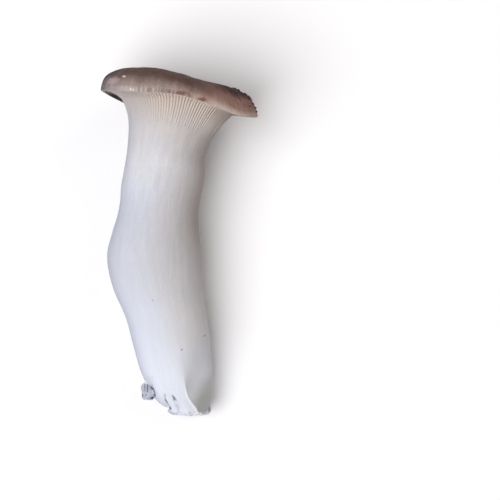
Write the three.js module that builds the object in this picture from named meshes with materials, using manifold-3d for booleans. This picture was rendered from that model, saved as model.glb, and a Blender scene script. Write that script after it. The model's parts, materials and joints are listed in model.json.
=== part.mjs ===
// A king oyster mushroom (Pleurotus eryngii), picked and lying on its side.
//
// It grew as one piece and is one solid: a swollen white stem with a trimmed foot, gills that run
// down the flare of the stem, and a low brown cap with a wavy margin.
//
// Millimetres. +Z is up and the mushroom lies on z = 0 with its cap towards +Y. The origin is the
// middle of the bounding box's underside. Around the stem and the cap, the angle 0 points to +X
// and a quarter turn points up. "side" is the cosine of that angle: 1 on the +X side, -1 opposite.

import * as THREE from "three";
import { mergeVertices } from "three/addons/utils/BufferGeometryUtils.js";
import Module from "manifold-3d";

const { degToRad, lerp, smoothstep } = THREE.MathUtils;
const TURN = 2 * Math.PI;

// ---------------------------------------------------------------- driving dimensions

// The stem from the foot to the neck: y along it, the middle of each section (x, z) and the
// section's half width and half height.
const STEM = [
  { y: -80.8, x: 4.9, z: 10.4, half: 7.6, tall: 7.8 },
  { y: -79.2, x: 4.1, z: 10.4, half: 9.7, tall: 9.4 },
  { y: -76.4, x: 3.3, z: 10.8, half: 10.6, tall: 10.6 },
  { y: -73.8, x: 1.6, z: 11.6, half: 12.3, tall: 12.0 },
  { y: -69.8, x: 0.1, z: 12.8, half: 14.2, tall: 13.6 },
  { y: -61.3, x: -1.6, z: 14.8, half: 16.7, tall: 15.6 },
  { y: -47.8, x: -4.0, z: 16.8, half: 18.3, tall: 17.2 },
  { y: -33.8, x: -6.9, z: 18.4, half: 19.2, tall: 18.4 },
  { y: -19.8, x: -10.8, z: 19.6, half: 21.2, tall: 19.8 },
  { y: -4.8, x: -12.5, z: 20.4, half: 22.2, tall: 21.2 },
  { y: 6.2, x: -11.7, z: 21.8, half: 20.4, tall: 20.0 },
  { y: 13.2, x: -10.7, z: 23.0, half: 19.1, tall: 19.0 },
  { y: 20.2, x: -9.6, z: 24.4, half: 18.6, tall: 18.6 },
  { y: 27.2, x: -8.4, z: 26.0, half: 19.1, tall: 18.7 },
  { y: 34.2, x: -7.2, z: 27.8, half: 18.8, tall: 18.7 },
  { y: 39.2, x: -6.8, z: 29.0, half: 18.2, tall: 18.3 },
];

// The cap: the middle of its margin, how far its axis leans to +X and up, and its radius.
const CAP_MIDDLE = new THREE.Vector3(-0.1, 65.8, 34.5);
const CAP_LEAN_X = degToRad(9);
const CAP_LEAN_UP = degToRad(-1);
const CAP_RADIUS = 36.2;
const CAP_HEIGHT_LEFT = 13.0; // the dome is higher on the -X side
const CAP_HEIGHT_RIGHT = 11.1;
const CAP_DIMPLE = 1.4; // the shallow hollow in the middle of the cap
const LIP = 0.8; // half the thickness of the margin's edge

// The waves of the margin: where each is round the cap, how wide, and how far it rises.
const MARGIN_WAVES = [
  { at: 38, width: 26, rise: -2.9 },
  { at: 93, width: 20, rise: 0.9 },
  { at: 128, width: 25, rise: -0.6 },
  { at: 228, width: 28, rise: -2.4 },
  { at: 310, width: 35, rise: 1.3 },
];

// The flare under the cap: its flank curves from the neck to a knee, where it turns outwards and
// runs on under the cap to the margin. The first of a pair is the -X side, the second the +X side.
const FLANK_START = [8, 3]; // how far the flank runs on straight above the neck
const FLANK_END = [8, 14]; // how far it runs straight into the knee
const KNEE_RADIUS = 26.2;
const KNEE_HEIGHT = [-3.0, -0.7]; // from the middle of the margin
const KNEE_TURN = degToRad(38); // the flank's slant at the knee
const UNDERSIDE_ARCH = 1.6; // how far the gills' edges bow up between the knee and the margin

// Gills: every second one is long and runs down the flare, the others stop short of the stem.
const GILL_COUNT = 96;
const GILL_DEPTH = 3.4;
const SHORT_GILL_SHARE = 0.75; // a short gill's depth as a share of a long one's
const GILL_FOOT = 1.15; // width where it stands on the flesh
const GILL_EDGE = 0.7; // width at its free edge
const FULLEST_FOOT = 0.88; // the most of its share of the ring that a foot takes, and an edge
const FULLEST_EDGE = 0.6;

// The knife's shallow hollow cut on the +X side of the foot: where it is deepest, which way that
// faces, and the radius and width of the cylinder that it takes away.
const CUT_MIDDLE = new THREE.Vector3(4.1, -66.8, 26.1);
const CUT_NORMAL = new THREE.Vector3(0.75, -0.16, 0.63).normalize();
const CUT_RADIUS = 100;
const CUT_WIDTH = 80;

// A bud that never grew, on the -X side of the foot: knobs run together.
const BUD = [
  { at: [-14.3, -68.4, 15.4], size: [4.0, 4.4, 4.0] },
  { at: [-17.1, -70.6, 14.6], size: [2.2, 2.6, 2.6] },
  { at: [-14.8, -71.8, 17.2], size: [2.4, 2.3, 2.2] },
  { at: [-12.8, -70.8, 13.0], size: [2.8, 2.6, 2.6] },
  { at: [-16.9, -67.6, 17.0], size: [1.9, 2.6, 1.8] },
];

// Facets
const STEM_SIDES = 48;
const STEM_RINGS = 22;
const CAP_RINGS = 7;
const GILL_RINGS = [0.2, 0.42, 0.64, 0.84, 1, 1.16, 1.42, 1.72, 2]; // from the neck to the margin

// ---------------------------------------------------------------- the stem

// A value of the stem's table at y, on a smooth curve through its rows.
function stemValue(key, y) {
  const slope = (a, b) => (b[key] - a[key]) / (b.y - a.y);
  const last = STEM.length - 1;
  const rowSlope = (i) => {
    const before = slope(STEM[Math.max(i - 1, 0)], STEM[Math.max(i, 1)]);
    const after = slope(STEM[Math.min(i, last - 1)], STEM[Math.min(i + 1, last)]);
    return (before + after) / 2;
  };
  let i = 0;
  while (i < last - 1 && y > STEM[i + 1].y) i += 1;
  const a = STEM[i];
  const b = STEM[i + 1];
  const gap = b.y - a.y;
  const t = (y - a.y) / gap;
  const t2 = t * t;
  const t3 = t2 * t;
  return (
    (2 * t3 - 3 * t2 + 1) * a[key] +
    (t3 - 2 * t2 + t) * gap * rowSlope(i) +
    (3 * t2 - 2 * t3) * b[key] +
    (t3 - t2) * gap * rowSlope(i + 1)
  );
}

// The stem isn't round: long shallow swellings, and short folds that gather at the foot.
function stemLobes(angle, y) {
  const folds = 1 - smoothstep(y, -79, -63);
  return (
    1 +
    0.008 * Math.cos(3 * angle - 0.05 * y) +
    0.035 * folds * Math.cos(9 * angle - 1.4) +
    0.02 * folds * Math.cos(5 * angle + 0.6)
  );
}

function stemPoint(angle, y) {
  const lobes = stemLobes(angle, y);
  return new THREE.Vector3(
    stemValue("x", y) + stemValue("half", y) * lobes * Math.cos(angle),
    y,
    stemValue("z", y) + stemValue("tall", y) * lobes * Math.sin(angle),
  );
}

// ---------------------------------------------------------------- the cap

const capAxis = new THREE.Vector3(
  Math.sin(CAP_LEAN_X) * Math.cos(CAP_LEAN_UP),
  Math.cos(CAP_LEAN_X) * Math.cos(CAP_LEAN_UP),
  Math.sin(CAP_LEAN_UP),
);
const capAcross = new THREE.Vector3(0, 0, -1).cross(capAxis).normalize();
const capUp = capAcross.clone().cross(capAxis).normalize();

// The direction outwards from the cap's axis at an angle round it.
function outwards(angle) {
  return capAcross
    .clone()
    .multiplyScalar(Math.cos(angle))
    .addScaledVector(capUp, Math.sin(angle));
}

// A point at a radius and a height in the cap's own frame.
function capPoint(angle, radius, height) {
  return CAP_MIDDLE.clone()
    .addScaledVector(outwards(angle), radius)
    .addScaledVector(capAxis, height);
}

// The margin isn't a true circle.
function marginRadius(angle) {
  return CAP_RADIUS * (1 + 0.016 * Math.cos(2 * angle) + 0.006 * Math.cos(5 * angle + 1));
}

function marginHeight(angle) {
  return MARGIN_WAVES.reduce((sum, { at, width, rise }) => {
    const away = Math.atan2(Math.sin(angle - degToRad(at)), Math.cos(angle - degToRad(at)));
    return sum + rise * Math.exp(-Math.pow(away / degToRad(width), 2));
  }, 0);
}

// The upper face of the cap, from the middle (share 0) to the margin (share 1). The +X side has a
// flatter top and a steeper shoulder than the -X side.
function capTop(angle, share) {
  const side = Math.cos(angle);
  const fullness = 5.1 + 1.9 * side;
  const roundness = 2.05 - 0.8 * side;
  const edge = Math.pow(1 - Math.pow(share, fullness), 1 / roundness);
  const across = share * CAP_RADIUS * side;
  const height = lerp(CAP_HEIGHT_LEFT, CAP_HEIGHT_RIGHT, smoothstep(across, -16, 8));
  const dimple = CAP_DIMPLE * Math.exp(-Math.pow(share / 0.4, 2));
  return capPoint(
    angle,
    share * marginRadius(angle),
    height * edge - dimple + marginHeight(angle) * Math.pow(share, 6),
  );
}

// ---------------------------------------------------------------- the flare and its gills

const bySide = ([left, right], side) => lerp(left, right, (1 + side) / 2);

// The line of the gills' free edges at an angle: from the neck (t = 0) to the knee (t = 1), and
// from the knee to the margin (t = 2).
function flarePoint(angle, t) {
  const side = Math.cos(angle);
  const kneeHeight = bySide(KNEE_HEIGHT, side) + marginHeight(angle) / 2;
  const knee = capPoint(angle, KNEE_RADIUS, kneeHeight);
  const intoKnee = outwards(angle)
    .multiplyScalar(Math.sin(KNEE_TURN))
    .addScaledVector(capAxis, Math.cos(KNEE_TURN));
  if (t < 1) {
    const neckY = STEM[STEM.length - 1].y;
    const neck = stemPoint(angle, neckY);
    const alongNeck = neck.clone().sub(stemPoint(angle, neckY - 0.5)).normalize();
    return new THREE.CubicBezierCurve3(
      neck,
      neck.clone().addScaledVector(alongNeck, bySide(FLANK_START, side)),
      knee.clone().addScaledVector(intoKnee, -bySide(FLANK_END, side)),
      knee,
    ).getPoint(t);
  }
  const radius = marginRadius(angle);
  return new THREE.CubicBezierCurve3(
    knee,
    knee.clone().addScaledVector(intoKnee, UNDERSIDE_ARCH),
    capPoint(angle, lerp(KNEE_RADIUS, radius, 0.7), marginHeight(angle) + UNDERSIDE_ARCH / 2),
    capPoint(angle, radius - 2 * LIP, marginHeight(angle) - LIP / 2),
  ).getPoint(t - 1);
}

// The way a gill stands out of the flesh: outwards on the flank, and down under the cap.
function gillDirection(angle, t) {
  const turn = smoothstep(t, 0.6, 1.4);
  return outwards(angle)
    .multiplyScalar(1 - turn)
    .addScaledVector(capAxis, -turn)
    .normalize();
}

// How deep the flesh lies behind the gills' free edges.
function fleshDepth(t) {
  return GILL_DEPTH * smoothstep(t, GILL_RINGS[0], 1) * (1 - smoothstep(t, 1.5, 2));
}

// How far a gill stands out of that flesh.
function gillDepth(index, t) {
  if (index % 2 === 0) return fleshDepth(t);
  return SHORT_GILL_SHARE * fleshDepth(t) * smoothstep(t, 0.86, 1.16);
}

// One gill's four corners at t: its foot, its free edge, its free edge and its foot.
function gillSection(index, t) {
  const slot = TURN / GILL_COUNT;
  const angle = index * slot;
  const slotWidth = flarePoint(angle, t).distanceTo(flarePoint(angle + slot, t));
  const foot = slot * Math.min(GILL_FOOT / slotWidth, FULLEST_FOOT);
  const edge = slot * Math.min(GILL_EDGE / slotWidth, FULLEST_EDGE);
  const sink = fleshDepth(t);
  const out = sink - gillDepth(index, t);
  const corner = (offset, depth) => {
    const turned = angle + offset;
    return flarePoint(turned, t).addScaledVector(gillDirection(turned, t), -depth);
  };
  return [
    corner(-foot / 2, sink),
    corner(-edge / 2, out),
    corner(edge / 2, out),
    corner(foot / 2, sink),
  ];
}

// ---------------------------------------------------------------- rings into one closed mesh

const range = (count) => Array.from({ length: count }, (_, i) => i);
const ringOf = (sides, pointAt) => range(sides).map((i) => pointAt((i / sides) * TURN));

// All the rings, from the middle of the foot's end to the middle of the cap.
function rings() {
  const [foot] = STEM;
  const neck = STEM[STEM.length - 1];
  const footMiddle = new THREE.Vector3(foot.x, foot.y + 0.6, foot.z);
  const margin = (inset, drop) =>
    ringOf(GILL_COUNT, (a) => capPoint(a, marginRadius(a) - inset, marginHeight(a) - drop));
  const list = [[footMiddle]];
  list.push(ringOf(STEM_SIDES, (a) => stemPoint(a, foot.y).lerp(footMiddle, 0.5)));
  for (const i of range(STEM_RINGS)) {
    // closer together at the foot, where the form turns fastest
    const share = Math.pow(i / (STEM_RINGS - 1), 1.35);
    list.push(ringOf(STEM_SIDES, (a) => stemPoint(a, lerp(foot.y, neck.y, share))));
  }
  list.push(ringOf(GILL_COUNT, (a) => flarePoint(a, GILL_RINGS[0] / 2)));
  for (const t of GILL_RINGS) {
    list.push(range(GILL_COUNT).flatMap((i) => gillSection(i, t)));
  }
  list.push(margin(LIP, LIP), margin(0.2 * LIP, 0.7 * LIP));
  for (const i of range(CAP_RINGS)) {
    // closer together at the shoulder
    const share = Math.pow(1 - i / CAP_RINGS, 0.45);
    list.push(ringOf(GILL_COUNT, (a) => capTop(a, share)));
  }
  list.push([capTop(0, 0)]);
  return list;
}

// The faces between two rings, where one has a whole number of times the other's points. Each
// point of the coarser ring takes a fan of the finer ring's points.
function bridge(lower, upper, lowerStart, upperStart, faces) {
  const coarse = Math.min(lower.length, upper.length);
  const below = lower.length / coarse;
  const above = upper.length / coarse;
  const lowerAt = (i) => lowerStart + (i % lower.length);
  const upperAt = (i) => upperStart + (i % upper.length);
  for (const i of range(coarse)) {
    for (const k of range(lower.length === 1 ? 0 : below)) {
      faces.push(lowerAt(i * below + k), upperAt(i * above), lowerAt(i * below + k + 1));
    }
    for (const k of range(upper.length === 1 ? 0 : above)) {
      faces.push(lowerAt((i + 1) * below), upperAt(i * above + k), upperAt(i * above + k + 1));
    }
  }
}

function grownForm() {
  const list = rings();
  const faces = [];
  let start = 0;
  for (const i of range(list.length - 1)) {
    const next = start + list[i].length;
    bridge(list[i], list[i + 1], start, next, faces);
    start = next;
  }
  const geometry = new THREE.BufferGeometry().setFromPoints(list.flat());
  geometry.setIndex(faces);
  return geometry;
}

function budKnobs() {
  return BUD.map(({ at, size }) =>
    new THREE.SphereGeometry(1, 10, 7).scale(...size).translate(...at),
  );
}

function knifeCut() {
  const [foot, ...rest] = STEM;
  const above = rest.find((row) => row.y > CUT_MIDDLE.y);
  const alongFoot = new THREE.Vector3(above.x - foot.x, above.y - foot.y, above.z - foot.z);
  const axis = CUT_NORMAL.clone().cross(alongFoot).normalize();
  const centre = CUT_MIDDLE.clone().addScaledVector(CUT_NORMAL, CUT_RADIUS);
  return new THREE.CylinderGeometry(CUT_RADIUS, CUT_RADIUS, CUT_WIDTH, 120)
    .applyQuaternion(new THREE.Quaternion().setFromUnitVectors(new THREE.Vector3(0, 1, 0), axis))
    .translate(centre.x, centre.y, centre.z);
}

// What would lie below the table, so that the mushroom rests on small flats.
const underTheTable = () => new THREE.BoxGeometry(200, 300, 100).translate(0, 0, -50);

// ---------------------------------------------------------------- solids

const wasm = await Module();
wasm.setup();

function solid(geometry) {
  const bare = geometry.clone();
  bare.deleteAttribute("normal");
  bare.deleteAttribute("uv");
  const merged = mergeVertices(bare, 1e-4);
  return new wasm.Manifold(
    new wasm.Mesh({
      numProp: 3,
      vertProperties: new Float32Array(merged.attributes.position.array),
      triVerts: new Uint32Array(merged.index.array),
    }),
  );
}

function geometryOf(body) {
  const mesh = body.getMesh();
  const geometry = new THREE.BufferGeometry();
  geometry.setAttribute("position", new THREE.BufferAttribute(mesh.vertProperties, 3));
  geometry.setIndex(new THREE.BufferAttribute(mesh.triVerts, 1));
  geometry.computeVertexNormals();
  return geometry;
}

const grown = budKnobs().reduce((body, knob) => body.add(solid(knob)), solid(grownForm()));
const rested = grown.subtract(solid(knifeCut())).subtract(solid(underTheTable()));

const flesh = new THREE.MeshStandardMaterial({ color: 0xe4dfdc, roughness: 0.7, metalness: 0 });
const mushroom = new THREE.Mesh(geometryOf(rested), flesh);
mushroom.name = "mushroom";

const part = new THREE.Group();
part.add(mushroom);

export default part;
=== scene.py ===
# %% [markdown]
# # A king oyster mushroom, picked and lying on its side
#
# This lesson dresses a plain solid of a mushroom with its real surface. The real one is a single
# piece of flesh: a swollen white stem, a flare whose underside is folded into gills, and a low
# brown cap. It could be sculpted by hand, but then no one could change it later. Here each form
# is a formula with a few named sizes, so that a number can be turned and the script run again.
#
# The fine pieces are the body (stem, flare and cap in one closed skin), the long gills, the short
# gills, a small bud at the foot and the dry scales on the cap. Together they stand for the plain
# solid, which stays for collisions.

import json
import math

import bmesh
import bpy
import numpy as np
from mathutils import Matrix, Vector, noise

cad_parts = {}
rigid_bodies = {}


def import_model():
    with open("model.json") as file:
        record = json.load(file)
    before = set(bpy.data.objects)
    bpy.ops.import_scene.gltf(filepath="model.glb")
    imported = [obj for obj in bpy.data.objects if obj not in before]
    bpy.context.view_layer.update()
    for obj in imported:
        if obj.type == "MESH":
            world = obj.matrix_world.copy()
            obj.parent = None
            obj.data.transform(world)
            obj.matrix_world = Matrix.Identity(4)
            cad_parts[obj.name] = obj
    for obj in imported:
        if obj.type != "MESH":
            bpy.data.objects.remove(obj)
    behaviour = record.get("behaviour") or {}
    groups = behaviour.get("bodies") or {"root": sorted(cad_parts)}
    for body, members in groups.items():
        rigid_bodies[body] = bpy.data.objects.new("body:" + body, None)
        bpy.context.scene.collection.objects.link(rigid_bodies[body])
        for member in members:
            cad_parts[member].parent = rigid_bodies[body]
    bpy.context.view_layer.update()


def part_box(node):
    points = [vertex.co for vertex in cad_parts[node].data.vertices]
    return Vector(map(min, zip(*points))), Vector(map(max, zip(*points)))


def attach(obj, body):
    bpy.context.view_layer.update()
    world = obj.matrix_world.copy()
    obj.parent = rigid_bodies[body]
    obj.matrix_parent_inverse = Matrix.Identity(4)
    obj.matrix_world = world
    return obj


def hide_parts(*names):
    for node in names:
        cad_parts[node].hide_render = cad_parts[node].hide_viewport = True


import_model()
LOW, HIGH = (np.array(corner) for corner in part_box("mushroom"))
print("the plain solid, mm:", np.round((HIGH - LOW) * 1000, 1))

# %% [markdown]
# ## The camera
#
# The mushroom lies on a table and is seen from straight above, with its cap away from the
# viewer. A camera that isn't turned looks down, with +Y at the top of the view, so only its
# place and its lens are set. The long lens keeps the near cap from looking too big.

# %% The camera
CAMERA_AT = (0.0327, -0.0023, 0.800)
LENS = 119.2  # mm, on a 36 mm sensor


def make_camera():
    data = bpy.data.cameras.new("camera")
    data.lens = LENS
    data.clip_start = 0.01
    camera = bpy.data.objects.new("camera", data)
    camera.location = CAMERA_AT
    bpy.context.collection.objects.link(camera)
    bpy.context.scene.camera = camera


make_camera()
print("camera:", LENS, "mm lens,", CAMERA_AT[2], "m over the table")

# %% [markdown]
# ## Light and floor
#
# Soft light from a large window on the left shapes the stem: its left side is bright and its
# right side falls into a soft shade. The window is wider than the table, so that the shadow has
# no edge. A weak lamp on the right keeps the far side of the cap readable, and the world only
# fills the shadows. The floor is a plain pale sheet. The view transform is Standard, so that a
# pale colour in a material comes out as that pale colour.

# %% Light and floor
WORLD_COLOUR = (1.0, 0.95, 0.92)
WORLD_STRENGTH = 0.22
FLOOR_COLOUR = (0.91, 0.91, 0.92)
FLOOR_ROUGHNESS = 0.9
FLOOR_SIZE = 9.0  # metres


def make_lamp(name, at, size, watts, colour, towards=(0, 0, 0.02)):
    data = bpy.data.lights.new(name, "AREA")
    data.shape = "DISK"
    data.size = size
    data.energy = watts
    data.color = colour
    lamp = bpy.data.objects.new(name, data)
    lamp.location = at
    lamp.rotation_euler = (Vector(towards) - Vector(at)).to_track_quat("-Z", "Y").to_euler()
    bpy.context.collection.objects.link(lamp)
    print(name, "lamp:", watts, "W,", size, "m wide")


def make_world():
    world = bpy.data.worlds.new("soft sky")
    world.use_nodes = True
    sky = world.node_tree.nodes["Background"]
    sky.inputs["Color"].default_value = (*WORLD_COLOUR, 1)
    sky.inputs["Strength"].default_value = WORLD_STRENGTH
    bpy.context.scene.world = world


def make_floor():
    mesh = bpy.data.meshes.new("floor")
    half = FLOOR_SIZE / 2
    corners = [(-half, -half, 0), (half, -half, 0), (half, half, 0), (-half, half, 0)]
    mesh.from_pydata(corners, [], [(0, 1, 2, 3)])
    floor = bpy.data.objects.new("floor", mesh)
    bpy.context.collection.objects.link(floor)
    material = bpy.data.materials.new("pale floor")
    material.use_nodes = True
    shader = material.node_tree.nodes["Principled BSDF"]
    shader.inputs["Base Color"].default_value = (*FLOOR_COLOUR, 1)
    shader.inputs["Roughness"].default_value = FLOOR_ROUGHNESS
    mesh.materials.append(material)


make_lamp("window", at=(-1.35, -0.60, 2.9), size=3.4, watts=126.0, colour=(0.985, 0.985, 1.0))
make_lamp("fill", at=(1.60, 1.10, 1.70), size=1.8, watts=12.0, colour=(1.0, 0.97, 0.94))
make_world()
make_floor()
bpy.context.scene.view_settings.view_transform = "Standard"

# %% [markdown]
# ## Small tools for smooth forms
#
# Everything below works on whole arrays of points at once, in millimetres, and is scaled to
# metres when a mesh is made. `ease` is the smooth switch that most of the forms are built from:
# 0 before a place, 1 after it, with no corner between. `bell` is 1 at one place and falls to 0
# on both sides of it. `wobble` is Blender's own noise read at many points: it is random to look
# at, but the same on every run.

# %% Small tools
MM = 0.001
TURN = 2 * math.pi


def ease(value, start, end):
    t = np.clip((value - start) / (end - start), 0, 1)
    return t * t * (3 - 2 * t)


def bell(distance, width):
    return np.exp(-((distance / width) ** 2))


def mix(a, b, share):
    return a + (b - a) * share


def unit(vectors):
    return vectors / np.linalg.norm(vectors, axis=-1, keepdims=True)


def away(angle, degrees):
    """How far an angle is from a place round the stem, in radians, from -pi to pi."""
    gap = angle - math.radians(degrees)
    return np.arctan2(np.sin(gap), np.cos(gap))


def bell_round(angle, degrees, width):
    """A bell at a place round the stem or the cap. The place and the width are in degrees."""
    return bell(away(angle, degrees), math.radians(width))


def wobble(points, shift):
    """Smooth values between -1 and 1, one a point, that change over a distance of about 1."""
    offset = Vector((shift * 3.1, shift * 7.7, shift * 5.3))
    flat = points.reshape(-1, 3)
    values = [noise.noise(Vector(p) + offset) for p in flat.tolist()]
    return np.array(values).reshape(points.shape[:-1])


# %% [markdown]
# ## The stem's form
#
# The stem swells to a belly and narrows to a neck, and its middle line wanders. A lathe can't
# give that, because a lathe is round and straight. Instead a short table gives the section at
# some places along it, and a smooth curve runs through the rows. The angle 0 points to +X and a
# quarter turn points up. The table is the same as the plain solid's, so the two fit.

# %% The stem's form
STEM = np.array([  # y along it, the section's middle x and z, its half width and half height
    (-80.8, 4.9, 10.4, 7.6, 7.8),
    (-79.2, 4.1, 10.4, 9.7, 9.4),
    (-76.4, 3.3, 10.8, 10.6, 10.6),
    (-73.8, 1.6, 11.6, 12.3, 12.0),
    (-69.8, 0.1, 12.8, 14.2, 13.6),
    (-61.3, -1.6, 14.8, 16.7, 15.6),
    (-47.8, -4.0, 16.8, 18.3, 17.2),
    (-33.8, -6.9, 18.4, 19.2, 18.4),
    (-19.8, -10.8, 19.6, 21.2, 19.8),
    (-4.8, -12.5, 20.4, 22.2, 21.2),
    (6.2, -11.7, 21.8, 20.4, 20.0),
    (13.2, -10.7, 23.0, 19.1, 19.0),
    (20.2, -9.6, 24.4, 18.6, 18.6),
    (27.2, -8.4, 26.0, 19.1, 18.7),
    (34.2, -7.2, 27.8, 18.8, 18.7),
    (39.2, -6.8, 29.0, 18.2, 18.3),
])
BELLY_Y = -4.8
FOLDS_FADE = (-79, -63)  # y, mm: the folds are deepest at the first and gone at the second
LOBE_HEIGHT = 0.008  # a share of the stem's width, and so are the folds
FOLD_HEIGHTS = (0.035, 0.02)
ALONG, MIDDLE_X, MIDDLE_Z, HALF_WIDTH, HALF_HEIGHT = range(5)
FOOT_Y, NECK_Y = STEM[0, ALONG], STEM[-1, ALONG]


def stem_value(column, y):
    """One column of the table at y, on a smooth curve through its rows."""
    places, rows = STEM[:, ALONG], STEM[:, column]
    gaps = np.diff(places)
    slopes = np.diff(rows) / gaps
    turns = np.concatenate([slopes[:1], (slopes[:-1] + slopes[1:]) / 2, slopes[-1:]])
    i = np.clip(np.searchsorted(places, y, side="right") - 1, 0, len(gaps) - 1)
    t = (y - places[i]) / gaps[i]
    from_row = (2 * t**3 - 3 * t**2 + 1) * rows[i] + (t**3 - 2 * t**2 + t) * gaps[i] * turns[i]
    to_row = (3 * t**2 - 2 * t**3) * rows[i + 1] + (t**3 - t**2) * gaps[i] * turns[i + 1]
    return from_row + to_row


def stem_point(angle, y):
    """A point of the stem. It has long shallow swellings, and folds that gather at the foot."""
    angle, y = np.broadcast_arrays(angle, y)
    narrow, wide = FOLD_HEIGHTS
    folds = narrow * np.cos(9 * angle - 1.4) + wide * np.cos(5 * angle + 0.6)
    lobes = 1 + LOBE_HEIGHT * np.cos(3 * angle - 0.05 * y) + (1 - ease(y, *FOLDS_FADE)) * folds
    x = stem_value(MIDDLE_X, y) + stem_value(HALF_WIDTH, y) * lobes * np.cos(angle)
    z = stem_value(MIDDLE_Z, y) + stem_value(HALF_HEIGHT, y) * lobes * np.sin(angle)
    return np.stack([x, y, z], axis=-1)


print("belly, mm:", 2 * stem_value(HALF_WIDTH, BELLY_Y), "neck, mm:", 2 * stem_value(HALF_WIDTH, NECK_Y))

# %% [markdown]
# ## The cap's form
#
# The cap is a low dome, higher on its -X side, with a shallow hollow in the middle and a wavy
# margin. It has a frame of its own, because its axis leans. A point of it is given by an angle,
# a radius from its axis and a height along it.

# %% The cap's form
CAP_MIDDLE = np.array([-0.1, 65.8, 34.5])
CAP_LEAN_X, CAP_LEAN_UP = math.radians(9), math.radians(-1)
CAP_RADIUS = 36.2
CAP_HEIGHT_LEFT, CAP_HEIGHT_RIGHT = 13.0, 11.1
CAP_FULLNESS, FULLER_RIGHT = 5.1, 1.9  # how far out the dome stays high
CAP_ROUNDNESS, SHARPER_RIGHT = 2.05, 0.8  # how round its shoulder is
LEFT_TO_RIGHT = (-16, 8)  # mm across the cap, where its height changes
CAP_DIMPLE, DIMPLE_WIDTH = 1.4, 0.4
SADDLE_UP = (-5, 15)  # mm up the cap, where the sag sets in
SADDLE_AT, SADDLE_WIDTH, SADDLE_DEPTH = 10.5, 6.5, 0.8  # a shallow sag beside the middle
LIP = 0.8  # half the thickness of the margin's edge
MARGIN_OVAL, MARGIN_WAVER = 0.016, 0.006  # shares of the radius
MARGIN_REACH = 6  # a power: how fast the margin's waves die out towards the middle
MARGIN_WAVES = [  # place and width in degrees, height in mm
    (38, 26, -2.9),
    (93, 20, 0.9),
    (128, 25, -0.6),
    (190, 16, 0.7),
    (234, 18, -2.0),
    (252, 14, -0.8),
    (310, 35, 1.3),
]

cap_axis = np.array([
    math.sin(CAP_LEAN_X) * math.cos(CAP_LEAN_UP),
    math.cos(CAP_LEAN_X) * math.cos(CAP_LEAN_UP),
    math.sin(CAP_LEAN_UP),
])
cap_across = unit(np.cross((0, 0, -1), cap_axis))
cap_up = unit(np.cross(cap_across, cap_axis))


def outwards(angle):
    """The direction out from the cap's axis at an angle."""
    angle = np.asarray(angle)[..., None]
    return np.cos(angle) * cap_across + np.sin(angle) * cap_up


def cap_point(angle, radius, height):
    radius, height = np.asarray(radius)[..., None], np.asarray(height)[..., None]
    return CAP_MIDDLE + outwards(angle) * radius + cap_axis * height


def margin_radius(angle):
    return CAP_RADIUS * (1 + MARGIN_OVAL * np.cos(2 * angle) + MARGIN_WAVER * np.cos(5 * angle + 1))


def margin_height(angle):
    return sum(rise * bell_round(angle, at, width) for at, width, rise in MARGIN_WAVES)


def cap_top(angle, share):
    """The brown upper face, from the cap's middle (share 0) to its margin (share 1)."""
    side = np.cos(angle)
    fullness, roundness = CAP_FULLNESS + FULLER_RIGHT * side, CAP_ROUNDNESS - SHARPER_RIGHT * side
    edge = (1 - share**fullness) ** (1 / roundness)
    across = share * CAP_RADIUS * side
    height = mix(CAP_HEIGHT_LEFT, CAP_HEIGHT_RIGHT, ease(across, *LEFT_TO_RIGHT))
    dimple = CAP_DIMPLE * bell(share, DIMPLE_WIDTH)
    upper = ease(share * CAP_RADIUS * np.sin(angle), *SADDLE_UP)
    saddle = SADDLE_DEPTH * bell(across - SADDLE_AT, SADDLE_WIDTH) * edge * upper
    rise = height * edge - dimple - saddle + margin_height(angle) * share**MARGIN_REACH
    return cap_point(angle, share * margin_radius(angle), rise)


print("cap, mm:", 2 * CAP_RADIUS, "wide and", CAP_HEIGHT_LEFT, "high over its margin")

# %% [markdown]
# ## The flare under the cap
#
# Above the neck the stem opens like a trumpet, turns outwards at a knee and runs on under the
# cap. A cubic Bezier curve for each angle does that: it leaves the neck in line with the stem
# and comes into the knee at a set slant. This surface is the line of the gills' free edges. The
# flesh that the gills stand on lies a few millimetres behind it.

# %% The flare's form
FLANK_START, FLANK_END = (8, 3), (8, 14)  # straight runs of the curve, -X side and +X side
KNEE_RADIUS = 26.2
KNEE_HEIGHT = (-3.0, -0.7)
KNEE_TURN = math.radians(38)
UNDERSIDE_ARCH = 1.6
GILL_DEPTH = 3.0

# places up the flare, from the neck (0) to the knee (1) and the margin (2)
FIRST_GILL, GILLS_FULL, GILLS_FADE = 0.34, 1.05, 1.55
GILLS_TURN = (0.6, 1.4)  # from standing outwards to hanging down

# The gills are low on the upper flank, lowest on its -X side, and full elsewhere.
GILL_WEAR = [(75, 62, 0.895), (142, 32, 0.70)]  # place and width in degrees, share worn away


def by_side(pair, side):
    return mix(pair[0], pair[1], (1 + side) / 2)


def bezier(a, b, c, d, t):
    return (1 - t) ** 3 * a + 3 * (1 - t) ** 2 * t * b + 3 * (1 - t) * t**2 * c + t**3 * d


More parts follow.
